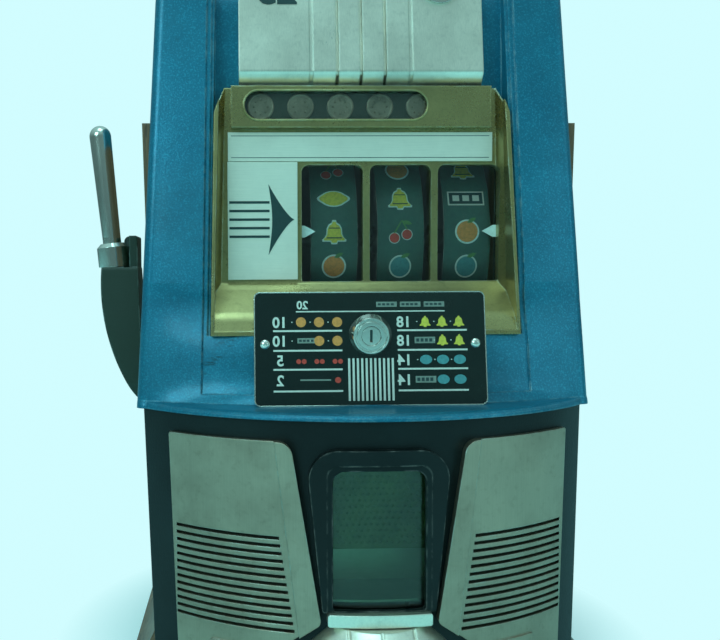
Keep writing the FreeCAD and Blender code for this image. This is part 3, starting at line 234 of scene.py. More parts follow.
def brushed_group():
    """Fine parallel scratches: streaks drawn out by a stretch, for colour, gloss and height."""
    group, given, sink = shader_group("Brushed Metal", [
        ("Colour", COLOR, (0.6, 0.6, 0.6, 1)), ("Stretch", VECTOR, (1, 1, 40)), ("Roughness", FLOAT, 0.35),
        ("Contrast", FLOAT, 0.3)], [("Colour", COLOR), ("Roughness", FLOAT), ("Height", FLOAT)])
    where = object_point(group)
    point = vectors(group, "MULTIPLY", {0: where, 1: given["Stretch"]})[0]
    streak = noise(group, point, 26.0, 6.0, 0.7)
    cloud = noise(group, where, 22.0, 5.0, 0.6)
    tone = plus(group, times(group, streak, 0.7), times(group, cloud, 0.5))
    shade = times(group, maths(group, "SUBTRACT", tone, 0.6), given["Contrast"])
    lit = vectors(group, "SCALE", {0: given["Colour"], "Scale": plus(group, shade, 1.0)})[0]
    plug(group, sink, {"Colour": lit, "Height": streak,
                       "Roughness": plus(group, given["Roughness"], times(group, shade, 0.5))})
    return group


def grain_group():
    """Oak grain that runs the way its stretch is smallest."""
    group, given, sink = shader_group("Oak Grain", [
        ("Light", COLOR, (0.3, 0.2, 0.1, 1)), ("Dark", COLOR, (0.1, 0.05, 0.02, 1)),
        ("Stretch", VECTOR, (1, 1, 0.08))], [("Colour", COLOR), ("Height", FLOAT)])
    point = vectors(group, "MULTIPLY", {0: object_point(group), 1: given["Stretch"]})[0]
    bands = noise(group, point, 60.0, 6.0, 0.65)
    pores = ramp(group, noise(group, point, 620.0, 2.0, 0.5), 0.56, 0.66)
    tone = plus(group, ramp(group, bands, 0.35, 0.7), times(group, pores, 0.5))
    plug(group, sink, {"Colour": mix(group, tone, given["Light"], given["Dark"]),
                       "Height": maths(group, "SUBTRACT", 1.0, pores)})
    return group


EFFECTS = {}


def effect(tree, name, **values):
    """The outputs of one shared effect, placed in a material with its own values."""
    return add(tree, "ShaderNodeGroup", values, node_tree=EFFECTS[name]).outputs


def new_material(name, **values):
    """A material with a Principled shader whose plain values are set on its own sockets."""
    material = bpy.data.materials.new(name)
    material.use_nodes = True
    shader = material.node_tree.nodes["Principled BSDF"]
    plug(material.node_tree, shader, {label.replace("_", " "): value for label, value in values.items()})
    return material, material.node_tree, shader


def dirtied(tree, shader, colour, rough, amount, **dirt):
    """Grime over a colour, given to the shader with the roughness that it leaves."""
    stain = effect(tree, "grime", Colour=colour, Amount=amount, Roughness=rough, **dirt)
    plug(tree, shader, {"Base Color": stain["Colour"], "Roughness": stain["Roughness"]})


def bump(tree, shader, height, distance, strength=0.5, normal=None):
    values = {"Height": height, "Distance": distance, "Strength": strength}
    if normal is not None:
        values["Normal"] = normal
    plug(tree, shader, {"Normal": add(tree, "ShaderNodeBump", values).outputs[0]})


def scuffs(tree, place, reach):
    """A patch of slanting scuff marks round one place, as a mask."""
    where = object_point(tree)
    apart = vectors(tree, "DISTANCE", {0: where, 1: place})["Value"]
    near = ramp(tree, apart, reach, reach * 0.35)
    slant = add(tree, "ShaderNodeMapping", {"Vector": where, "Rotation": (0, 0.5, 0), "Scale": (30, 30, 160)})
    marks = ramp(tree, noise(tree, slant.outputs["Vector"], 1.6, 6.0, 0.75), 0.56, 0.66)
    return times(tree, times(tree, near, marks), 0.8)


# ------------------------------------------------------------------ finishes
SCUFF_PLACE, SCUFF_REACH = (-0.130, -0.130, 0.297), 0.045     # worn patch left of the award card


def enamel_finish(looks):
    material, tree, shader = new_material("Hammered Enamel", Metallic=0.35, Coat_Weight=0.18,
                                          Coat_Roughness=0.15, Specular_IOR_Level=0.35)
    base = effect(tree, "hammer", Deep=looks.enamel, Fleck=looks.enamel_fleck)
    edge = effect(tree, "edge", Width=0.0022, Scale=70.0, Amount=0.55)
    # painted highlight: the enamel's edges are painted pale blue-grey, partly worn paint and partly a painted
    # highlight along the edges
    worn_and_highlit = mix(tree, edge["Mask"], base["Colour"], (0.35, 0.55, 0.60, 1))
    scuffed = mix(tree, scuffs(tree, SCUFF_PLACE, SCUFF_REACH), worn_and_highlit, (0.004, 0.014, 0.016, 1))
    dirtied(tree, shader, scuffed, 0.30, 0.42, Dirt=(0.006, 0.030, 0.040, 1))
    bump(tree, shader, base["Height"], 0.00016, normal=edge["Normal"])
    return material


def metal_finish(name, shade, stretch, rough, contrast, width, dirt, metallic=0.92, height=0.00012):
    """A bare or lacquered metal: brushed streaks, slow tarnish, softened edges and a pale edge colour, partly
    wear and partly painted highlight.
    """
    material, tree, shader = new_material(name, Metallic=metallic)
    base = effect(tree, "brushed", Colour=shade, Stretch=stretch, Roughness=rough, Contrast=contrast)
    edge = effect(tree, "edge", Width=width, Scale=60.0, Amount=0.5)
    # painted highlight: the edges are painted pale, partly rubbed metal and partly a painted highlight
    lit = mix(tree, edge["Mask"], base["Colour"], (0.62, 0.80, 0.72, 1))
    dirtied(tree, shader, lit, base["Roughness"], dirt)
    bump(tree, shader, base["Height"], height, normal=edge["Normal"])
    return material


def black_finish(looks):
    material, tree, shader = new_material("Black Crackle", Coat_Weight=0.06, Coat_Roughness=0.2,
                                          Specular_IOR_Level=0.22)
    point = object_point(tree)
    cells = add(tree, "ShaderNodeTexVoronoi", {"Vector": point, "Scale": 380.0}, feature="DISTANCE_TO_EDGE")
    wrinkle = ramp(tree, cells.outputs["Distance"], 0.0, 0.25)
    slow = ramp(tree, noise(tree, point, 12.0, 6.0), 0.40, 0.80)
    tone = mix(tree, slow, looks.black, (0.008, 0.016, 0.016, 1))
    edge = effect(tree, "edge", Width=0.0020, Scale=70.0, Amount=0.5)
    worn_and_highlit = mix(tree, edge["Mask"], tone, looks.steel)
    dirtied(tree, shader, worn_and_highlit, 0.42, 0.2, Dirt=(0.02, 0.03, 0.026, 1))
    bump(tree, shader, wrinkle, 0.00015, 0.4, edge["Normal"])
    return material


def oak_finish(looks, name, stretch):
    material, tree, shader = new_material(name, Coat_Weight=0.3, Coat_Roughness=0.25)
    grain = effect(tree, "grain", Light=looks.oak, Dark=looks.oak_dark, Stretch=stretch)
    edge = effect(tree, "edge", Width=0.0018, Scale=50.0, Amount=0.7)
    worn_and_highlit = mix(tree, edge["Mask"], grain["Colour"], (0.36, 0.28, 0.18, 1))
    dirtied(tree, shader, worn_and_highlit, 0.42, 0.45)
    bump(tree, shader, grain["Height"], 0.0002, normal=edge["Normal"])
    return material


def glass_finish(name, tint, smeared):
    """Old window glass with faint smears."""
    material, tree, shader = new_material(name, Transmission_Weight=1.0, IOR=1.45, Base_Color=tint)
    smear = ramp(tree, noise(tree, object_point(tree), 40.0, 5.0), 0.45, 0.8)
    plug(tree, shader, {"Roughness": times(tree, smear, smeared)})
    return material


def ink_finish(name, shade, rough=0.45, scale=420.0, patchy=0.35):
    """Printed or painted colour with slight patchiness and fading."""
    material, tree, shader = new_material(name)
    fade = ramp(tree, noise(tree, object_point(tree), scale, 4.0, 0.6), 0.40, 0.75)
    dark = tuple(c * 0.45 for c in shade[:3]) + (1,)
    dirtied(tree, shader, mix(tree, times(tree, fade, patchy), tuple(shade), dark), rough, 0.3)
    bump(tree, shader, fade, 0.00006, 0.4)
    return material


UPRIGHT, ACROSS, AROUND = (60, 60, 1.2), (1.2, 40, 60), (20, 20, 20)     # which way a metal's streaks run


def build_finishes(looks):
    """Every material of the machine, by name."""
    EFFECTS.update(grime=grime_group(), edge=edge_group(), hammer=hammer_group(), brushed=brushed_group(),
                   grain=grain_group())
    # a metal: name, colour, streaks, roughness, contrast, edge width, dirt (on the head panel partly painted
    # shade), metallic, height of its streaks
    metals = {
        "gold": ("Gold Lacquer", looks.gold, AROUND, 0.27, 0.6, 0.0016, 0.6, 0.85),
        # head panel: its heavy dirt is partly grime and partly painted shade, dark blotches that stand for
        # the shading on the panel
        "panel": ("Head Panel Aluminium", looks.aluminium, UPRIGHT, 0.30, 0.65, 0.0016, 0.40),
        # painted light: a brighter, less metallic and cleaner copy of the aluminium for the name and arrow
        # plates, which face lower and catch less light
        "plate": ("Plate Aluminium Painted Bright", looks.aluminium, ACROSS, 0.42, 0.35, 0.0006, 0.10, 0.55),
        "grille": ("Grille Aluminium", looks.grille, UPRIGHT, 0.38, 0.60, 0.0014, 0.45),
        "cup": ("Cup Aluminium", looks.aluminium, AROUND, 0.32, 0.45, 0.0018, 0.35),
        "chrome": ("Chrome Plate", looks.chrome, AROUND, 0.14, 0.25, 0.0010, 0.18, 1.0, 0.00003),
        "brass": ("Satin Brass", looks.brass, AROUND, 0.30, 0.35, 0.0008, 0.35),
        "steel": ("Mechanism Steel", looks.steel, ACROSS, 0.40, 0.45, 0.0008, 0.35),
        "coin": ("Coin Silver", looks.grille, AROUND, 0.40, 0.9, 0.0004, 0.9),
        "arm": ("Arm Paint", looks.arm, AROUND, 0.38, 0.4, 0.0022, 0.35, 0.0, 0.0003),
        "screen": ("Jackpot Screen", (0.230, 0.240, 0.090, 1), AROUND, 0.5, 0.8, 0.0004, 0.8, 0.6),
        "dull": ("Dulled Steel", (0.09, 0.10, 0.08, 1), AROUND, 0.5, 0.6, 0.0006, 0.5, 0.7),
    }
    # an ink: name, colour, roughness, scale of its patches, how patchy
    inks = {
        "card": ("Card Ground", looks.card, 0.22, 60.0),
        "ink": ("White Ink", looks.ink, 0.45, 900.0),
        # dark ink for the printing, also used for the painted shade in the lock's keyway
        "dark": ("Dark Ink", (0.012, 0.045, 0.045, 1), 0.5, 300.0),
        "strip": ("Reel Ground", looks.strip, 0.4, 200.0),
        "leaf": ("Leaf Ink", looks.leaf, 0.5, 420.0, 0.6),
        "badge": ("Badge Grey", (0.26, 0.30, 0.25, 1), 0.45, 500.0),
        "white": ("Pointer White", (0.75, 0.86, 0.80, 1), 0.35, 300.0),
    }
    for fruit in ("orange", "yellow", "plum", "cherry"):
        inks[fruit] = (f"{fruit.title()} Ink", getattr(looks, fruit), 0.45, 420.0, 0.6)
    finishes = {
        "enamel": enamel_finish(looks), "black": black_finish(looks),
        "oak": oak_finish(looks, "Oak Upright", (1, 1, 0.08)),
        "oak_long": oak_finish(looks, "Oak Lengthwise", (1, 0.08, 1)),
        "glass": glass_finish("Window Glass", (0.97, 1.00, 0.98, 1), 0.06),
        "smoked": glass_finish("Dusty Glass", (0.46, 0.66, 0.52, 1), 0.16),
    }
    finishes.update({key: metal_finish(*values) for key, values in metals.items()})
    finishes.update({key: ink_finish(*values) for key, values in inks.items()})
    return finishes


NODE_FINISH = {
    "enamel": ["upper_casting"],
    "black": ["lower_casting", "jackpot_bezel"],
    "gold": ["reel_frame"],
    "panel": ["head_panel"],
    "plate": ["name_plate", "arrow_plate"],
    "grille": ["grille_plain", "grille_handle"],
    "cup": ["payout_cup", "jackpot_sill"],
    "chrome": ["button_bezel", "handle_grip", "handle_collar", "lock_ring", "lock_plug", "card_screws",
               "door_lock", "card_holder"],
    "brass": ["return_button", "handle_bush", "coin_tube", "governor_fan", "hinge_leaves_fixed",
              "hinge_leaves_door"],
    "dull": ["escalator_track"],
    "steel": ["mechanism_rails", "mechanism_floor", "mechanism_sides", "jackpot_bin", "payout_chute",
              "cash_box", "handle_shaft", "drive_crank", "reel_shaft", "stop_lever_shaft", "tube_bracket",
              "payout_slides",
              "reel_1", "reel_2", "reel_3", "stop_lever_1", "stop_lever_2", "stop_lever_3"],
    "coin": ["escalator_coins"],
    "arm": ["handle_arm"],
    "oak": ["side_board_handle", "side_board_plain", "rear_door"],
    "oak_long": ["plinth_plain", "plinth_handle", "base_board"],
    "glass": ["reel_glass", "escalator_glass"],
    "smoked": ["jackpot_glass"],
    "card": ["award_card"],
    "strip": ["reel_strip_1", "reel_strip_2", "reel_strip_3"],
    "white": ["reel_pointers"],
}
FINISH = {}


# ------------------------------------------------------------------ outlines, drawn in millimetres
def ellipse(x, y, rx, ry, count=28):
    turns = [math.tau * k / count for k in range(count)]
    return [(x + rx * math.cos(a), y + ry * math.sin(a)) for a in turns]


def bar(x0, x1, y0, y1):
    return [(x0, y0), (x1, y0), (x1, y1), (x0, y1)]


def bell(x, y, s):
    """A bell standing on its rim, as half an outline and its mirror image."""
    half = [(0.0, 1.0), (0.16, 0.98), (0.20, 0.78), (0.46, 0.62), (0.62, 0.30), (0.66, -0.20), (0.80, -0.46),
            (1.00, -0.62), (0.96, -0.78), (0.30, -0.78), (0.24, -0.98), (0.0, -1.0)]
    whole = half + [(-px, py) for px, py in half[-2:0:-1]]
    return [(x + px * s, y + py * s) for px, py in reversed(whole)]


def lemon(x, y, s):
    """An oval with a small point at each end."""
    points = []
    for k in range(32):
        a = math.tau * k / 32
        tip = 1.0 + 0.22 * max(0.0, abs(math.cos(a)) - 0.86) / 0.14
        points.append((x + 1.12 * s * math.cos(a) * tip, y + 0.72 * s * math.sin(a)))
    return points


def leaf(x, y, s, turn):
    """A leaf that grows from its stalk's end, turned by an angle."""
    c, d = math.cos(turn), math.sin(turn)
    shape = [(0, 0), (0.35, 0.20), (0.75, 0.18), (1.05, 0.0), (0.75, -0.18), (0.35, -0.20)]
    return [(x + s * (px * c - py * d), y + s * (px * d + py * c)) for px, py in reversed(shape)]


def arrow(x0, x1, y, half):
    """An arrowhead pointing +X whose two long edges and whose base are hollow curves."""
    steps, hollow, dent = 10, 1.35, 3.4
    shares = [k / steps for k in range(steps + 1)]
    upper = [(x0 + (x1 - x0) * t, y + half * (1 - t) ** hollow) for t in shares]
    lower = [(px, 2 * y - py) for px, py in reversed(upper[:-1])]
    base = [(x0 + dent * math.sin(math.pi * k / 8), y - half + 2 * half * k / 8) for k in range(1, 8)]
    return (upper + lower + base)[::-1]


# ------------------------------------------------------------------ mesh helpers
def flat_piece(outlines, place, thick):
    """Outlines in millimetres made thin solids, with their face where place puts the plane's origin."""
    mesh = bmesh.new()
    for outline in outlines:
        lower = [mesh.verts.new((x * MM, 0.0, z * MM)) for x, z in outline]
        upper = [mesh.verts.new((x * MM, -thick, z * MM)) for x, z in outline]
        mesh.faces.new(upper)
        mesh.faces.new(list(reversed(lower)))
        for k in range(len(outline)):
            mesh.faces.new((upper[k - 1], upper[k], lower[k], lower[k - 1])[::-1])
    bmesh.ops.recalc_face_normals(mesh, faces=mesh.faces)
    mesh.transform(place)
    return mesh


def object_from(mesh, name, material, smooth=False):
    """A finished object from a bmesh, at the origin, with one material."""
    data = bpy.data.meshes.new(name)
    mesh.to_mesh(data)
    mesh.free()
    for polygon in data.polygons:
        polygon.use_smooth = smooth
    data.materials.append(material)
    thing = bpy.data.objects.new(name, data)
    bpy.context.collection.objects.link(thing)
    return thing


def finish_piece(thing, body):
    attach(thing, body)


def cabinet_piece(mesh, name, finish, smooth=False):
    """A piece from a bmesh that stays with the cabinet."""
    finish_piece(object_from(mesh, name, FINISH[finish], smooth), "cabinet")


def card_place():
    """The award card's face: origin at the middle of its foot, Z up the face."""
    card_thick = 2 * MM
    lean = math.atan2(CARD_HIGH[1] - card_thick - CARD_LOW[1], CARD_HIGH[2] - CARD_LOW[2])
    return Matrix.Translation((0, CARD_LOW[1], CARD_LOW[2])) @ Matrix.Rotation(-lean, 4, "X")


def wrapped_symbol(outlines, lift):
    """Outlines in millimetres laid on the reel's surface at its front, relative to the reel's axis."""
    mesh = bmesh.new()
    rings = 4
    radius = REEL_RADIUS + lift

    def wrapped(x, z):
        turn = z / radius
        return mesh.verts.new((x, -radius * math.cos(turn), radius * math.sin(turn)))

    for outline in outlines:
        cx, cz = middle_of(outline)
        layers = [[wrapped((cx + (x - cx) * r / rings) * MM, (cz + (z - cz) * r / rings) * MM)
                   for x, z in outline] for r in range(1, rings + 1)]
        middle = wrapped(cx * MM, cz * MM)
        for k in range(len(outline)):
            mesh.faces.new((middle, layers[0][k - 1], layers[0][k]))
            for inner, outer in zip(layers, layers[1:]):
                mesh.faces.new((inner[k - 1], outer[k - 1], outer[k], inner[k]))
    bmesh.ops.recalc_face_normals(mesh, faces=mesh.faces)
    if sum(face.normal.dot(face.calc_center_median()) for face in mesh.faces) < 0:
        bmesh.ops.reverse_faces(mesh, faces=mesh.faces)
    return mesh


def digits(text, height, place):
    """Bold reversed numbers as a thin mesh, with the middle of their foot at place."""
    cap_share, weight = 0.70, 0.035
    curve = bpy.data.curves.new(text, "FONT")
    curve.body = text
    curve.size = height / cap_share
    curve.extrude = bpy.context.scene.machine_sizes.ink_thick
    curve.offset = height * weight
    curve.resolution_u = 3
    curve.align_x = "CENTER"
    thing = bpy.data.objects.new(text, curve)
    bpy.context.collection.objects.link(thing)
    data = plain_mesh(thing)
    bpy.data.objects.remove(thing)
    mesh = bmesh.new()
    mesh.from_mesh(data)
    bpy.data.meshes.remove(data)
    mesh.transform(place @ Matrix.Scale(-1, 4, (1, 0, 0)) @ Matrix.Rotation(math.radians(90), 4, "X"))
    bmesh.ops.remove_doubles(mesh, verts=mesh.verts, dist=1e-6)
    bmesh.ops.recalc_face_normals(mesh, faces=mesh.faces)
    return mesh


def plain_mesh(thing):
    """What an object looks like with its modifiers or its curve worked out."""
    bpy.context.view_layer.update()
    return bpy.data.meshes.new_from_object(thing.evaluated_get(bpy.context.evaluated_depsgraph_get()))


def joined(meshes):
    """Several bmeshes as one."""
    whole = bmesh.new()
    for mesh in meshes:
        data = bpy.data.meshes.new("part")
        mesh.to_mesh(data)
        mesh.free()
        whole.from_mesh(data)
        bpy.data.meshes.remove(data)
    return whole


# ------------------------------------------------------------------ Geometry Nodes
INTEGER, MATERIAL = "NodeSocketInt", "NodeSocketMaterial"


def repeat_group(name, inputs):
    """An empty group with a part coming in, the given inputs and a material."""
    group = bpy.data.node_groups.new(name, "GeometryNodeTree")
    group.interface.new_socket(name="Geometry", in_out="INPUT", socket_type="NodeSocketGeometry")
    for label, kind, default in inputs:
        group.interface.new_socket(name=label, in_out="INPUT", socket_type=kind).default_value = default
    group.interface.new_socket(name="Material", in_out="INPUT", socket_type=MATERIAL)
    group.interface.new_socket(name="Geometry", in_out="OUTPUT", socket_type="NodeSocketGeometry")
    return group, group.nodes.new("NodeGroupInput").outputs


def points(group, count):
    """A number of points, all at the origin."""
    return add(group, "GeometryNodeMeshLine", {"Count": count, "Offset": (0, 0, 0)}).outputs["Mesh"]


def index(group):
    return add(group, "GeometryNodeInputIndex").outputs[0]


def end_repeat(group, given, copies):
    """Makes the copies real, paints them and gives them out."""
    real = add(group, "GeometryNodeRealizeInstances", {"Geometry": copies}).outputs["Geometry"]
    painted = add(group, "GeometryNodeSetMaterial", {"Geometry": real, "Material": given["Material"]})
    add(group, "NodeGroupOutput", {"Geometry": painted.outputs["Geometry"]})
    return group


def ring_tree():
    """Repeats a part evenly round the X axis, then moves the ring to its centre."""
    group, given = repeat_group("Ring Of Parts", [
        ("Count", INTEGER, 20), ("Phase", FLOAT, 0.0), ("Centre", VECTOR, (0, 0, 0))])
    step = maths(group, "DIVIDE", math.tau, given["Count"])
    turn = maths(group, "MULTIPLY_ADD", index(group), step, given["Phase"])
    angles = add(group, "ShaderNodeCombineXYZ", {"X": turn}).outputs["Vector"]
    copies = add(group, "GeometryNodeInstanceOnPoints", {
        "Points": points(group, given["Count"]), "Instance": given["Geometry"], "Rotation": angles})
    moved = add(group, "GeometryNodeTransform", {"Geometry": copies.outputs["Instances"],
                                                 "Translation": given["Centre"]})
    return end_repeat(group, given, moved.outputs["Geometry"])


def grid_tree():
    """Repeats a part in rows and columns, with every second row shifted by a share of a column."""
    group, given = repeat_group("Grid Of Parts", [
        ("Columns", INTEGER, 2), ("Rows", INTEGER, 2), ("Column Step", VECTOR, (0.01, 0, 0)),
        ("Row Step", VECTOR, (0, 0, 0.01)), ("Start", VECTOR, (0, 0, 0)), ("Stagger", FLOAT, 0.0)])
    row = maths(group, "FLOOR", maths(group, "DIVIDE", index(group), given["Columns"]))
    column = maths(group, "MODULO", index(group), given["Columns"])
    shift = times(group, maths(group, "MODULO", row, 2.0), given["Stagger"])
    along = vectors(group, "SCALE", {0: given["Column Step"], "Scale": plus(group, column, shift)})[0]
    up = vectors(group, "SCALE", {0: given["Row Step"], "Scale": row})[0]
    both = vectors(group, "ADD", {0: along, 1: up})[0]
    place = vectors(group, "ADD", {0: both, 1: given["Start"]})[0]
    total = times(group, given["Columns"], given["Rows"])
    put = add(group, "GeometryNodeSetPosition", {"Geometry": points(group, total), "Position": place})
    copies = add(group, "GeometryNodeInstanceOnPoints", {
        "Points": put.outputs["Geometry"], "Instance": given["Geometry"]})
    return end_repeat(group, given, copies.outputs["Instances"])


TREES = {}


def repeated(part, tree, name, finish, **values):
    """part is one object. Its repeats, made by a tree, come back as one plain mesh object."""
    group = TREES[tree]
    modifier = part.modifiers.new("Repeat", "NODES")
    modifier.node_group = group
    sockets = {item.name: item.identifier for item in group.interface.items_tree if item.in_out == "INPUT"}
    for label, value in values.items():
        modifier[sockets[label.replace("_", " ")]] = value
    modifier[sockets["Material"]] = FINISH[finish]
    result = plain_mesh(part)
    part.modifiers.remove(modifier)
    old = part.data
    part.data = result
    bpy.data.meshes.remove(old)
    part.name = name
    result.name = name
    return part


# ------------------------------------------------------------------ operators
class MACHINE_OT_paint(bpy.types.Operator):
    """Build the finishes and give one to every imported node"""
    bl_idname = "machine.paint"
    bl_label = "Paint Nodes"

    def execute(self, context):
        FINISH.update(build_finishes(context.scene.machine_finishes))
        painted = set()
        for finish, names in NODE_FINISH.items():
            for name in names:
                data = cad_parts[name].data
                data.materials.clear()
                data.materials.append(FINISH[finish])
                painted.add(name)
        missing = set(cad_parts) - painted
        if missing:
            raise RuntimeError("no finish for " + ", ".join(sorted(missing)))
        return {"FINISHED"}


def middle_of(outline):
    return sum(p[0] for p in outline) / len(outline), sum(p[1] for p in outline) / len(outline)


def shrunk(outline, amount):
    cx, cz = middle_of(outline)
    return [(cx + (x - cx) * amount, cz + (z - cz) * amount) for x, z in outline]


def outlined(draw, finish, detail=()):
    """A symbol's layers: a pale edge, the coloured shape drawn a little smaller, then its detail."""
    return [("white", draw), (finish, lambda s: [shrunk(outline, 0.86) for outline in draw(s)]), *detail]


def cherry_pair(s):
    r = s * 0.46
    return [ellipse(-s * 0.52, -s * 0.50, r, r), ellipse(s * 0.50, -s * 0.22, r, r)]


def stalks(s):
    """Two thin stalks that meet at a leaf."""
    lines, half, top = [], s * 0.07, [(s * 0.16, s * 0.95), (s * 0.04, s * 0.95)]
    for foot, low in ((-s * 0.52, -s * 0.1), (s * 0.50, s * 0.18)):
        lines.append([(foot - half, low), (foot + half, low), *top])
    return lines + [leaf(s * 0.1, s * 0.85, s * 0.8, -0.25)]


def bell_bands(s):
    return [bar(-s * 0.62, s * 0.62, -s * 0.52, -s * 0.42), bar(-s * 0.45, s * 0.45, s * 0.28, s * 0.36)]


def bar_blocks(s):
    return [bar(s * (k - 1.1), s * (k - 0.55), -s * 0.26, s * 0.26) for k in (0.0, 0.82, 1.64)]


# each symbol's layers: a finish, then outlines for a symbol of half height s
SYMBOLS = {
    "lemon": outlined(lambda s: [lemon(0, 0, s)], "yellow"),
    "bell": outlined(lambda s: [bell(0, 0, s)], "yellow", [("dark", bell_bands)]),
    "orange": outlined(lambda s: [ellipse(0, 0, s, s)], "orange",
                       [("leaf", lambda s: [leaf(0, s * 0.72, s * 0.8, 0.5)])]),
    "plum": outlined(lambda s: [ellipse(0, -s * 0.05, s * 0.92, s * 0.98)], "plum",
                     [("leaf", lambda s: [leaf(0, s * 0.72, s * 0.8, 0.4)])]),
    "cherries": outlined(cherry_pair, "cherry", [("leaf", stalks)]),
    "bar": [("ink", lambda s: [bar(-s * 1.5, s * 1.5, -s * 0.62, s * 0.62)]),
            ("dark", lambda s: [bar(-s * 1.38, s * 1.38, -s * 0.50, s * 0.50)]), ("ink", bar_blocks)],
}
# the five symbols that follow each other round each reel, from the pay line upwards, over and over
REEL_ORDER = [["bell", "lemon", "cherries", "plum", "orange"],
              ["cherries", "bell", "orange", "lemon", "plum"],
              ["orange", "bar", "bell", "cherries", "plum"]]


class MACHINE_OT_reel_symbols(bpy.types.Operator):
    """Lay the fruit, bells and bars round the three reel strips"""
    bl_idname = "machine.reel_symbols"
    bl_label = "Reel Symbols"

    def execute(self, context):
        sizes = context.scene.machine_sizes
        s = sizes.symbol_size / MM
        pay_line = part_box("reel_pointers")
        height = (pay_line[0][2] + pay_line[1][2]) / 2 - REEL_Z
        rise = math.asin(height / REEL_RADIUS)
        step = math.tau / sizes.symbol_pitch
        for reel, order in enumerate(REEL_ORDER, start=1):
            low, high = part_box(f"reel_strip_{reel}")
            centre = ((low[0] + high[0]) / 2, REEL_Y, REEL_Z)
            for place, symbol in enumerate(order):
                for layer, (finish, draw) in enumerate(SYMBOLS[symbol]):
                    mesh = wrapped_symbol(draw(s), sizes.ink_thick * (1.5 + layer))
                    ring = repeated(object_from(mesh, "symbol", FINISH[finish], smooth=True), "ring",
                                    f"reel_{reel}_{symbol}_{layer}", finish, Centre=centre,
                                    Count=sizes.symbol_pitch // len(order), Phase=-(rise + step * place))
                    finish_piece(ring, f"reel_{reel}_body")
        return {"FINISHED"}


class MACHINE_OT_award_printing(bpy.types.Operator):
    """Print the award card: numbers, lines, small fruit and the bars below the lock"""
    bl_idname = "machine.award_printing"
    bl_label = "Award Card Printing"

    # in millimetres: heights above the card's foot, and distances to the right of its middle
    ROWS = (69.9, 54.0, 37.5, 20.7)
    TOP_LINE, LINES = 78.9, (62.5, 45.8, 29.8, 11.6)
    LINE_ENDS = ((-82.5, -24), (23, 82.5))
    NUMBERS = ((-76.8, ("10", "10", "5", "2")), (28.6, ("18", "18", "14", "14")))
    TOP_NUMBER, TOP_NUMBER_HEIGHT = (-57.5, 81.2), 6.8
    LEFT_FRUIT, RIGHT_FRUIT = (-58.8, -43.5, -28.1), (46.9, 61.3, 75.7)
    LEFT_DOTS, RIGHT_DOTS = (-66.5, -51.0, -35.8), (39.8, 54.4, 68.6)
    BADGES = ((5.5, 23.1, 82.6, 87.0), (25.8, 43.4, 82.6, 87.0), (46.2, 63.8, 82.6, 87.0),
              (-62, -46, 52.0, 56.4), (37.6, 55.1, 51.4, 56.8), (37.6, 55.1, 18.0, 23.6))
    DASH = (-60, -34, 20.3, 21.6)
    STRIPE, STRIPES, STRIPE_STEP = (-0.9, 0.9, 3.2, 39.0), 11, 3.7

    def execute(self, context):
        sizes = context.scene.machine_sizes
        place, thick = card_place(), sizes.ink_thick

        def printed(outlines, name, finish, share=1.0):
            cabinet_piece(flat_piece(outlines, place, thick * share), name, finish)

        cabinet_piece(self.white_ink(sizes, place, thick), "card_white_ink", "ink")
        printed([bar(*edges) for edges in (*self.BADGES, self.DASH)], "card_badges", "badge", 0.8)
        inner = []
        for left, right, foot, head in self.BADGES:
            left, width, foot, head = left + 1.4, right - left - 2.8, foot + 1.3, head - 1.3
            for start in (left + width * k / 4 for k in range(4)):
                inner.append(bar(start, start + width * 0.17, foot, head))
        printed(inner, "card_badge_centres", "dark", 1.3)
        first, second, third, fourth = self.ROWS
        left, right = self.LEFT_FRUIT, self.RIGHT_FRUIT
        fruit = {
            "orange": [ellipse(x, first, 4.3, 4.3, 16) for x in left] +
                      [ellipse(x, second, 4.3, 4.3, 16) for x in left[1:]],
            "cherry": [ellipse(x + dx, third - 0.9, 2.1, 2.1, 12) for x in left for dx in (-2.3, 2.3)] +
                      [ellipse(left[2], fourth + 0.1, 2.6, 2.6, 12)],
            "yellow": [bell(x, first, 4.7) for x in right] + [bell(x, second, 4.7) for x in right[1:]],
            "plum": [ellipse(x, third, 5.2, 4.0, 16) for x in right] +
                    [ellipse(x, fourth, 5.2, 4.0, 16) for x in right[1:]],
        }
        for finish, outlines in fruit.items():
            printed(outlines, f"card_{finish}", finish)
        stripe = object_from(flat_piece([bar(*self.STRIPE)], place, thick), "stripe", FINISH["ink"])
        reach = self.STRIPE_STEP * (self.STRIPES - 1) / 2
        stripes = repeated(stripe, "grid", "card_stripes", "ink", Columns=self.STRIPES, Rows=1,
                           Column_Step=(self.STRIPE_STEP * MM, 0, 0), Start=(-reach * MM, 0, 0))
        finish_piece(stripes, "cabinet")
        return {"FINISHED"}

    def white_ink(self, sizes, place, thick):
        """The lines, numbers and dots, all in white, as one mesh."""
        half = sizes.line_thick / MM / 2
        lines = [bar(-63, 64, self.TOP_LINE - 0.5, self.TOP_LINE + 0.5)]
        lines += [bar(*ends, z - half, z + half) for z in self.LINES for ends in self.LINE_ENDS]
        meshes = [flat_piece(lines, place, thick)]

        def number(word, x, z, height):
            meshes.append(digits(word, height, place @ Matrix.Translation((x * MM, -thick, z * MM))))

        for x, words in self.NUMBERS:
            for word, middle in zip(words, self.ROWS):
                number(word, x, middle - sizes.digit_height / MM / 2, sizes.digit_height)
        number("20", *self.TOP_NUMBER, self.TOP_NUMBER_HEIGHT * MM)
        dots = [(x, z) for z in self.ROWS[:2] for x in self.LEFT_DOTS + self.RIGHT_DOTS]
        dots += [(x, self.ROWS[2]) for x in self.RIGHT_DOTS]
        meshes.append(flat_piece([bar(x - 0.5, x + 0.5, z - 0.4, z + 0.4) for x, z in dots], place, thick))
        return joined(meshes)


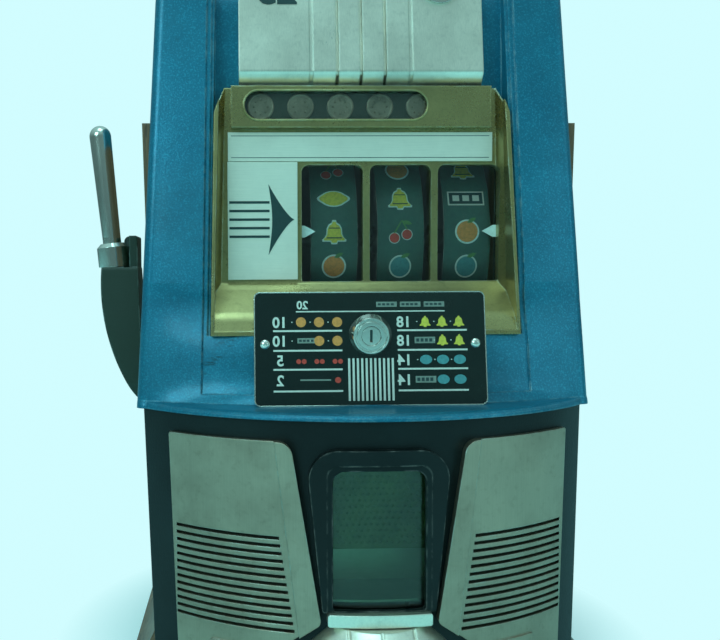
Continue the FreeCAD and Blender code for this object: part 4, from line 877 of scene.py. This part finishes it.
class MACHINE_OT_arrow_plate(bpy.types.Operator):
    """Paint the arrow and its five bars on the plate beside the reels, and the name plate's two lines"""
    bl_idname = "machine.arrow_plate"
    bl_label = "Arrow Plate"

    # in millimetres
    ARROW = (-84, -60.5, 417.4, 32)
    BARS, TOP_BAR, BAR_STEP, BAR_ENDS, BAR_HALF = 5, 433, 7.75, (-119.5, -83.0), 1.1
    MARGIN, LINE = 3, 0.5

    def execute(self, context):
        ink = context.scene.machine_sizes.ink_thick
        place = Matrix.Translation((0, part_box("arrow_plate")[0][1], 0))
        outlines = [arrow(*self.ARROW)]
        for z in (self.TOP_BAR - self.BAR_STEP * k for k in range(self.BARS)):
            outlines.append(bar(*self.BAR_ENDS, z - self.BAR_HALF, z + self.BAR_HALF))
        cabinet_piece(flat_piece(outlines, place, ink * 2), "arrow_mark", "dark")
        low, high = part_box("name_plate")
        x0, x1 = low[0] / MM + self.MARGIN, high[0] / MM - self.MARGIN
        z0, z1 = low[2] / MM + self.MARGIN, high[2] / MM - self.MARGIN
        lines = [bar(x0, x1, z0, z0 + self.LINE), bar(x0, x1, z1 - self.LINE, z1)]
        cabinet_piece(flat_piece(lines, place, ink), "name_plate_pinstripes", "dark")
        return {"FINISHED"}


class MACHINE_OT_panel_figures(bpy.types.Operator):
    """Set the dark coin value figures in the head panel"""
    bl_idname = "machine.panel_figures"
    bl_label = "Panel Figures"

    PLACE, FOOT, PANEL_SLOPE = (-75.5, -91.4, 614.0), -3.0, (9.0, 66.0)     # in millimetres

    def execute(self, context):
        face = Matrix.Translation([c * MM for c in self.PLACE])
        lean = Matrix.Rotation(-math.atan2(*self.PANEL_SLOPE), 4, "X")
        place = face @ lean @ Matrix.Translation((0, 0, self.FOOT * MM))
        mesh = digits("25", context.scene.machine_sizes.figure_height, place)
        cabinet_piece(mesh, "panel_figures", "dark")
        return {"FINISHED"}


class MACHINE_OT_trim(bpy.types.Operator):
    """Make the keyway's painted shade, the coin window's bead, the coins' relief and the jackpot screen"""
    bl_idname = "machine.trim"
    bl_label = "Small Trim"

    KEYWAY, KEYWAY_DEPTH = (-0.9, 0.9, -4.6, 4.6), 1.2                      # in millimetres
    WINDOW, WINDOW_Y, BEAD = (-0.106, 0.0596, 0.5055, 0.532), -0.100, 0.0011
    # a coin's raised rim: distance in from its edge, and distance out from its face
    COIN_RIM = ((0.0022, 0.0), (0.0018, -0.0005), (0.0006, -0.0005), (0.0001, 0.0))
    COINS, COIN_BEADS, COIN_STEPS = 5, 8, 40

    def execute(self, context):
        self.keyway()
        self.window_bead()
        self.coin_relief()
        self.jackpot_screen(context.scene.machine_sizes)
        return {"FINISHED"}

    def keyway(self):
        """Painted shade: a dark sheet in the card lock's keyway, standing for the shade inside it."""
        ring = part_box("lock_ring")
        place = (0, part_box("lock_plug")[0][1] + self.KEYWAY_DEPTH * MM, (ring[0][2] + ring[1][2]) / 2)
        mesh = flat_piece([bar(*self.KEYWAY)], Matrix.Translation(place), 0.4 * MM)
        finish_piece(object_from(mesh, "lock_keyway_shade", FINISH["dark"]), "card_lock")

    def window_bead(self):
        """A rounded bead round the coin window."""
        x0, x1, z0, z1 = self.WINDOW
        r, z = (z1 - z0) / 2, (z0 + z1) / 2
        path = []
        for centre, start in ((x1 - r, -90), (x0 + r, 90)):
            for k in range(17):
                a = math.radians(start + 180 * k / 16)
                path.append(Vector((centre + r * math.cos(a), self.WINDOW_Y, z + r * math.sin(a))))
        mesh = bmesh.new()
        rings, sides = [], 8
        back = Vector((0, 1, 0))
        for k, point in enumerate(path):
            along = (path[(k + 1) % len(path)] - path[k - 1]).normalized()
            out = along.cross(back).normalized()
            turns = [math.tau * j / sides for j in range(sides)]
            ways = [out * math.cos(b) + back * math.sin(b) for b in turns]
            rings.append([mesh.verts.new(point + way * self.BEAD) for way in ways])
        for k in range(len(rings)):
            for j in range(sides):
                mesh.faces.new((rings[k - 1][j - 1], rings[k][j - 1], rings[k][j], rings[k - 1][j]))
        bmesh.ops.recalc_face_normals(mesh, faces=mesh.faces)
        cabinet_piece(mesh, "coin_window_bead", "gold", smooth=True)

    def coin_relief(self):
        """A raised rim and a ring of beads on each shown coin."""
        low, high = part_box("escalator_coins")
        r = (high[2] - low[2]) / 2
        mesh = bmesh.new()
        rings = []
        for a in (math.tau * k / self.COIN_STEPS for k in range(self.COIN_STEPS)):
            c, d = math.cos(a), math.sin(a)
            rings.append([mesh.verts.new(((r - p) * c, q, (r - p) * d)) for p, q in self.COIN_RIM])
        for k in range(len(rings)):
            for j in range(len(self.COIN_RIM) - 1):
                mesh.faces.new((rings[k - 1][j], rings[k][j], rings[k][j + 1], rings[k - 1][j + 1]))
        for a in (math.tau * k / self.COIN_BEADS for k in range(self.COIN_BEADS)):
            made = bmesh.ops.create_icosphere(mesh, subdivisions=1, radius=0.0011)["verts"]
            bmesh.ops.translate(mesh, verts=made, vec=(r * 0.52 * math.cos(a), 0, r * 0.52 * math.sin(a)))
        bmesh.ops.recalc_face_normals(mesh, faces=mesh.faces)
        step = (high[0] - low[0] - 2 * r) / (self.COINS - 1)
        coins = repeated(object_from(mesh, "rim", FINISH["coin"], smooth=True), "grid", "coin_relief", "coin",
                         Columns=self.COINS, Rows=1, Column_Step=(step, 0, 0),
                         Start=(low[0] + r, low[1] - 0.05 * MM, (low[2] + high[2]) / 2))
        finish_piece(coins, "cabinet")

    def jackpot_screen(self, sizes):
        """The studded plate behind the jackpot window."""
        low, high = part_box("jackpot_bin")
        y = low[1] + 0.014
        x0, x1, z0, z1 = low[0] + 0.004, high[0] - 0.004, low[2] + 0.040, high[2] - 0.002
        plate = flat_piece([bar(x0 / MM, x1 / MM, z0 / MM, z1 / MM)], Matrix.Translation((0, y, 0)), 0.001)
        cabinet_piece(plate, "jackpot_screen", "screen")
        mesh = bmesh.new()
        bmesh.ops.create_cone(mesh, cap_ends=True, segments=10, radius1=0.0014, radius2=0.0009, depth=0.001)
        mesh.transform(Matrix.Translation((0, -0.0014, 0)) @ Matrix.Rotation(math.radians(90), 4, "X"))
        p = sizes.hole_pitch
        studs = repeated(object_from(mesh, "stud", FINISH["screen"]), "grid", "jackpot_studs", "screen",
                         Columns=int((x1 - x0 - p) / p), Rows=int((z1 - z0 - p) / p), Column_Step=(p, 0, 0),
                         Row_Step=(0, 0, p), Start=(x0 + p, y, z0 + p), Stagger=0.5)
        finish_piece(studs, "cabinet")


class MACHINE_OT_screws(bpy.types.Operator):
    """Fit the round-headed screws in the door's hinge leaves"""
    bl_idname = "machine.screws"
    bl_label = "Screws"

    FROM_EDGE, FROM_BACK, FROM_END, HEAD = 0.009, 0.0075, 0.007, 0.0016

    def execute(self, context):
        low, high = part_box("hinge_leaves_door")
        screw = self.screw(context.scene.machine_sizes.screw_radius, high[1] - self.FROM_BACK)
        piece = repeated(screw, "grid", "door_hinge_screws", "brass", Columns=1, Rows=2,
                         Row_Step=(0, 0, high[2] - low[2] - 2 * self.FROM_END),
                         Start=(high[0] - self.FROM_EDGE, 0, low[2] + self.FROM_END))
        finish_piece(piece, "door")
        return {"FINISHED"}

    def screw(self, r, y):
        """One screw head facing +Y, with a slot between its two raised halves."""
        mesh = bmesh.new()
        for side in (-1, 1):
            outline = [(side * r * 0.12, -r * 0.98), (side * r * 0.12, r * 0.98)]
            for a in range(80, -81, -16):
                outline.append((side * r * math.cos(math.radians(a)), r * math.sin(math.radians(a))))
            low = [mesh.verts.new((px, y, pz)) for px, pz in outline]
            top = [mesh.verts.new((px * 0.8, y + self.HEAD, pz * 0.8)) for px, pz in outline]
            mesh.faces.new(low)
            mesh.faces.new(top)
            for k in range(len(outline)):
                mesh.faces.new((low[k - 1], low[k], top[k], top[k - 1]))
        bmesh.ops.recalc_face_normals(mesh, faces=mesh.faces)
        return object_from(mesh, "screw", FINISH["brass"])


class MACHINE_OT_stage(bpy.types.Operator):
    """Set the floor, the soft lights and the camera"""
    bl_idname = "machine.stage"
    bl_label = "Stage"

    # each light: name, place, what it faces, size, share of the key light's power
    LIGHTS = (("key_light", (-1.5, -1.9, 1.5), (0, -0.1, 0.35), 1.1, 1.0),
              ("fill_light", (1.9, -1.6, 0.8), (0, -0.1, 0.35), 1.2, 0.25),
              ("top_light", (-0.2, -0.5, 2.2), (0, -0.05, 0.5), 0.9, 0.4))
    # the camera's place in metres, its pitch, yaw and roll in degrees, and its shift
    CAMERA, TURN, SHIFT = (-0.108, -0.855, 0.362), (2.97, 1.57, -0.33), (0.131, 0.0056)
    SOFT_LOW, SOFT_HIGH = 0.03, 0.74        # strength of the soft light from below and from overhead
    SHADOW_REACH = (0.16, 0.30)             # where the floor starts to fade, and where it is gone

    def execute(self, context):
        stage = context.scene.machine_stage
        context.scene.view_settings.view_transform = "Standard"
        self.surroundings(context, stage)
        self.floor(stage)
        for name, place, target, size, share in self.LIGHTS:
            self.light(stage, name, place, target, size, stage.key_power * share)
        self.camera(context, stage)
        return {"FINISHED"}

    def surroundings(self, context, stage):
        """A plain pale backdrop, and a softer light from all round that is brighter overhead."""
        world = bpy.data.worlds.new("Surroundings")
        context.scene.world = world
        world.use_nodes = True
        tree = world.node_tree
        plain = tree.nodes["Background"]
        plain.inputs["Color"].default_value = stage.backdrop
        where = add(tree, "ShaderNodeTexCoord").outputs["Generated"]
        height = add(tree, "ShaderNodeSeparateXYZ", {"Vector": where}).outputs["Z"]
        strength = add(tree, "ShaderNodeMapRange", {"Value": height, "From Min": -0.2, "From Max": 0.9,
                                                    "To Min": self.SOFT_LOW,
                                                    "To Max": self.SOFT_HIGH}).outputs["Result"]
        soft = add(tree, "ShaderNodeBackground", {"Color": stage.sky, "Strength": strength})
        seen = add(tree, "ShaderNodeLightPath").outputs["Is Camera Ray"]
        both = add(tree, "ShaderNodeMixShader", {0: seen, 1: soft.outputs[0], 2: plain.outputs[0]})
        plug(tree, tree.nodes["World Output"], {"Surface": both.outputs[0]})

    def floor(self, stage):
        """A pale floor that takes the machine's shadow close by and fades into the backdrop further off."""
        mesh = bmesh.new()
        bmesh.ops.create_grid(mesh, x_segments=1, y_segments=1, size=8.0)
        material, tree, shader = new_material("Pale Floor", Roughness=0.8)
        point = object_point(tree)
        tone = mix(tree, times(tree, noise(tree, point, 3.0), 0.06), stage.backdrop, (0.5, 0.8, 0.82, 1))
        plug(tree, shader, {"Base Color": tone})
        reach = vectors(tree, "LENGTH", {0: point})["Value"]
        seen = add(tree, "ShaderNodeLightPath").outputs["Is Camera Ray"]
        far = times(tree, ramp(tree, reach, *self.SHADOW_REACH), seen)
        glow = add(tree, "ShaderNodeEmission", {"Color": stage.backdrop})
        both = add(tree, "ShaderNodeMixShader", {0: far, 1: shader.outputs[0], 2: glow.outputs[0]})
        plug(tree, tree.nodes["Material Output"], {"Surface": both.outputs[0]})
        object_from(mesh, "floor", material)

    def light(self, stage, name, place, target, size, power):
        lamp = bpy.data.lights.new(name, "AREA")
        lamp.size = size
        lamp.energy = power
        lamp.color = stage.sky[:3]
        thing = bpy.data.objects.new(name, lamp)
        thing.location = place
        thing.rotation_euler = (Vector(target) - Vector(place)).to_track_quat("-Z", "Y").to_euler()
        bpy.context.collection.objects.link(thing)

    def camera(self, context, stage):
        """The camera stands low on the handle side, square to the front, with its frame shifted across."""
        pitch, yaw, roll = map(math.radians, self.TURN)
        data = bpy.data.cameras.new("camera")
        data.lens = stage.lens
        data.sensor_width = 36.0
        data.shift_x, data.shift_y = self.SHIFT
        data.clip_start = 0.01
        thing = bpy.data.objects.new("camera", data)
        level = Matrix.Rotation(-yaw, 4, "Z") @ Matrix.Rotation(math.radians(90) - pitch, 4, "X")
        thing.matrix_world = Matrix.Translation(self.CAMERA) @ level @ Matrix.Rotation(roll, 4, "Z")
        context.collection.objects.link(thing)
        context.scene.camera = thing


class MACHINE_PT_panel(bpy.types.Panel):
    """Lists the machine's operators and settings"""
    bl_label = "Slot Machine"
    bl_idname = "MACHINE_PT_panel"
    bl_space_type = "VIEW_3D"
    bl_region_type = "UI"
    bl_category = "Slot Machine"

    def draw(self, context):
        layout = self.layout
        for operator in OPERATORS:
            layout.operator(operator.bl_idname)
        for settings in SETTINGS:
            group = getattr(context.scene, settings)
            column = layout.column(align=True)
            for name in group.__annotations__:
                column.prop(group, name)


OPERATORS = (MACHINE_OT_paint, MACHINE_OT_reel_symbols, MACHINE_OT_award_printing, MACHINE_OT_arrow_plate,
             MACHINE_OT_panel_figures, MACHINE_OT_trim, MACHINE_OT_screws, MACHINE_OT_stage)
SETTINGS = {"machine_finishes": MachineFinishes, "machine_sizes": MachineSizes, "machine_stage": MachineStage}


def register():
    for settings in SETTINGS.values():
        bpy.utils.register_class(settings)
    for name, settings in SETTINGS.items():
        setattr(bpy.types.Scene, name, bpy.props.PointerProperty(type=settings))
    for operator in OPERATORS:
        bpy.utils.register_class(operator)
    bpy.utils.register_class(MACHINE_PT_panel)


def unregister():
    bpy.utils.unregister_class(MACHINE_PT_panel)
    for operator in reversed(OPERATORS):
        bpy.utils.unregister_class(operator)
    for name, settings in SETTINGS.items():
        delattr(bpy.types.Scene, name)
        bpy.utils.unregister_class(settings)


def main():
    register()
    TREES.update(ring=ring_tree(), grid=grid_tree())
    for operator in OPERATORS:
        family, name = operator.bl_idname.split(".")
        getattr(getattr(bpy.ops, family), name)()


if __name__ == "__main__":
    main()
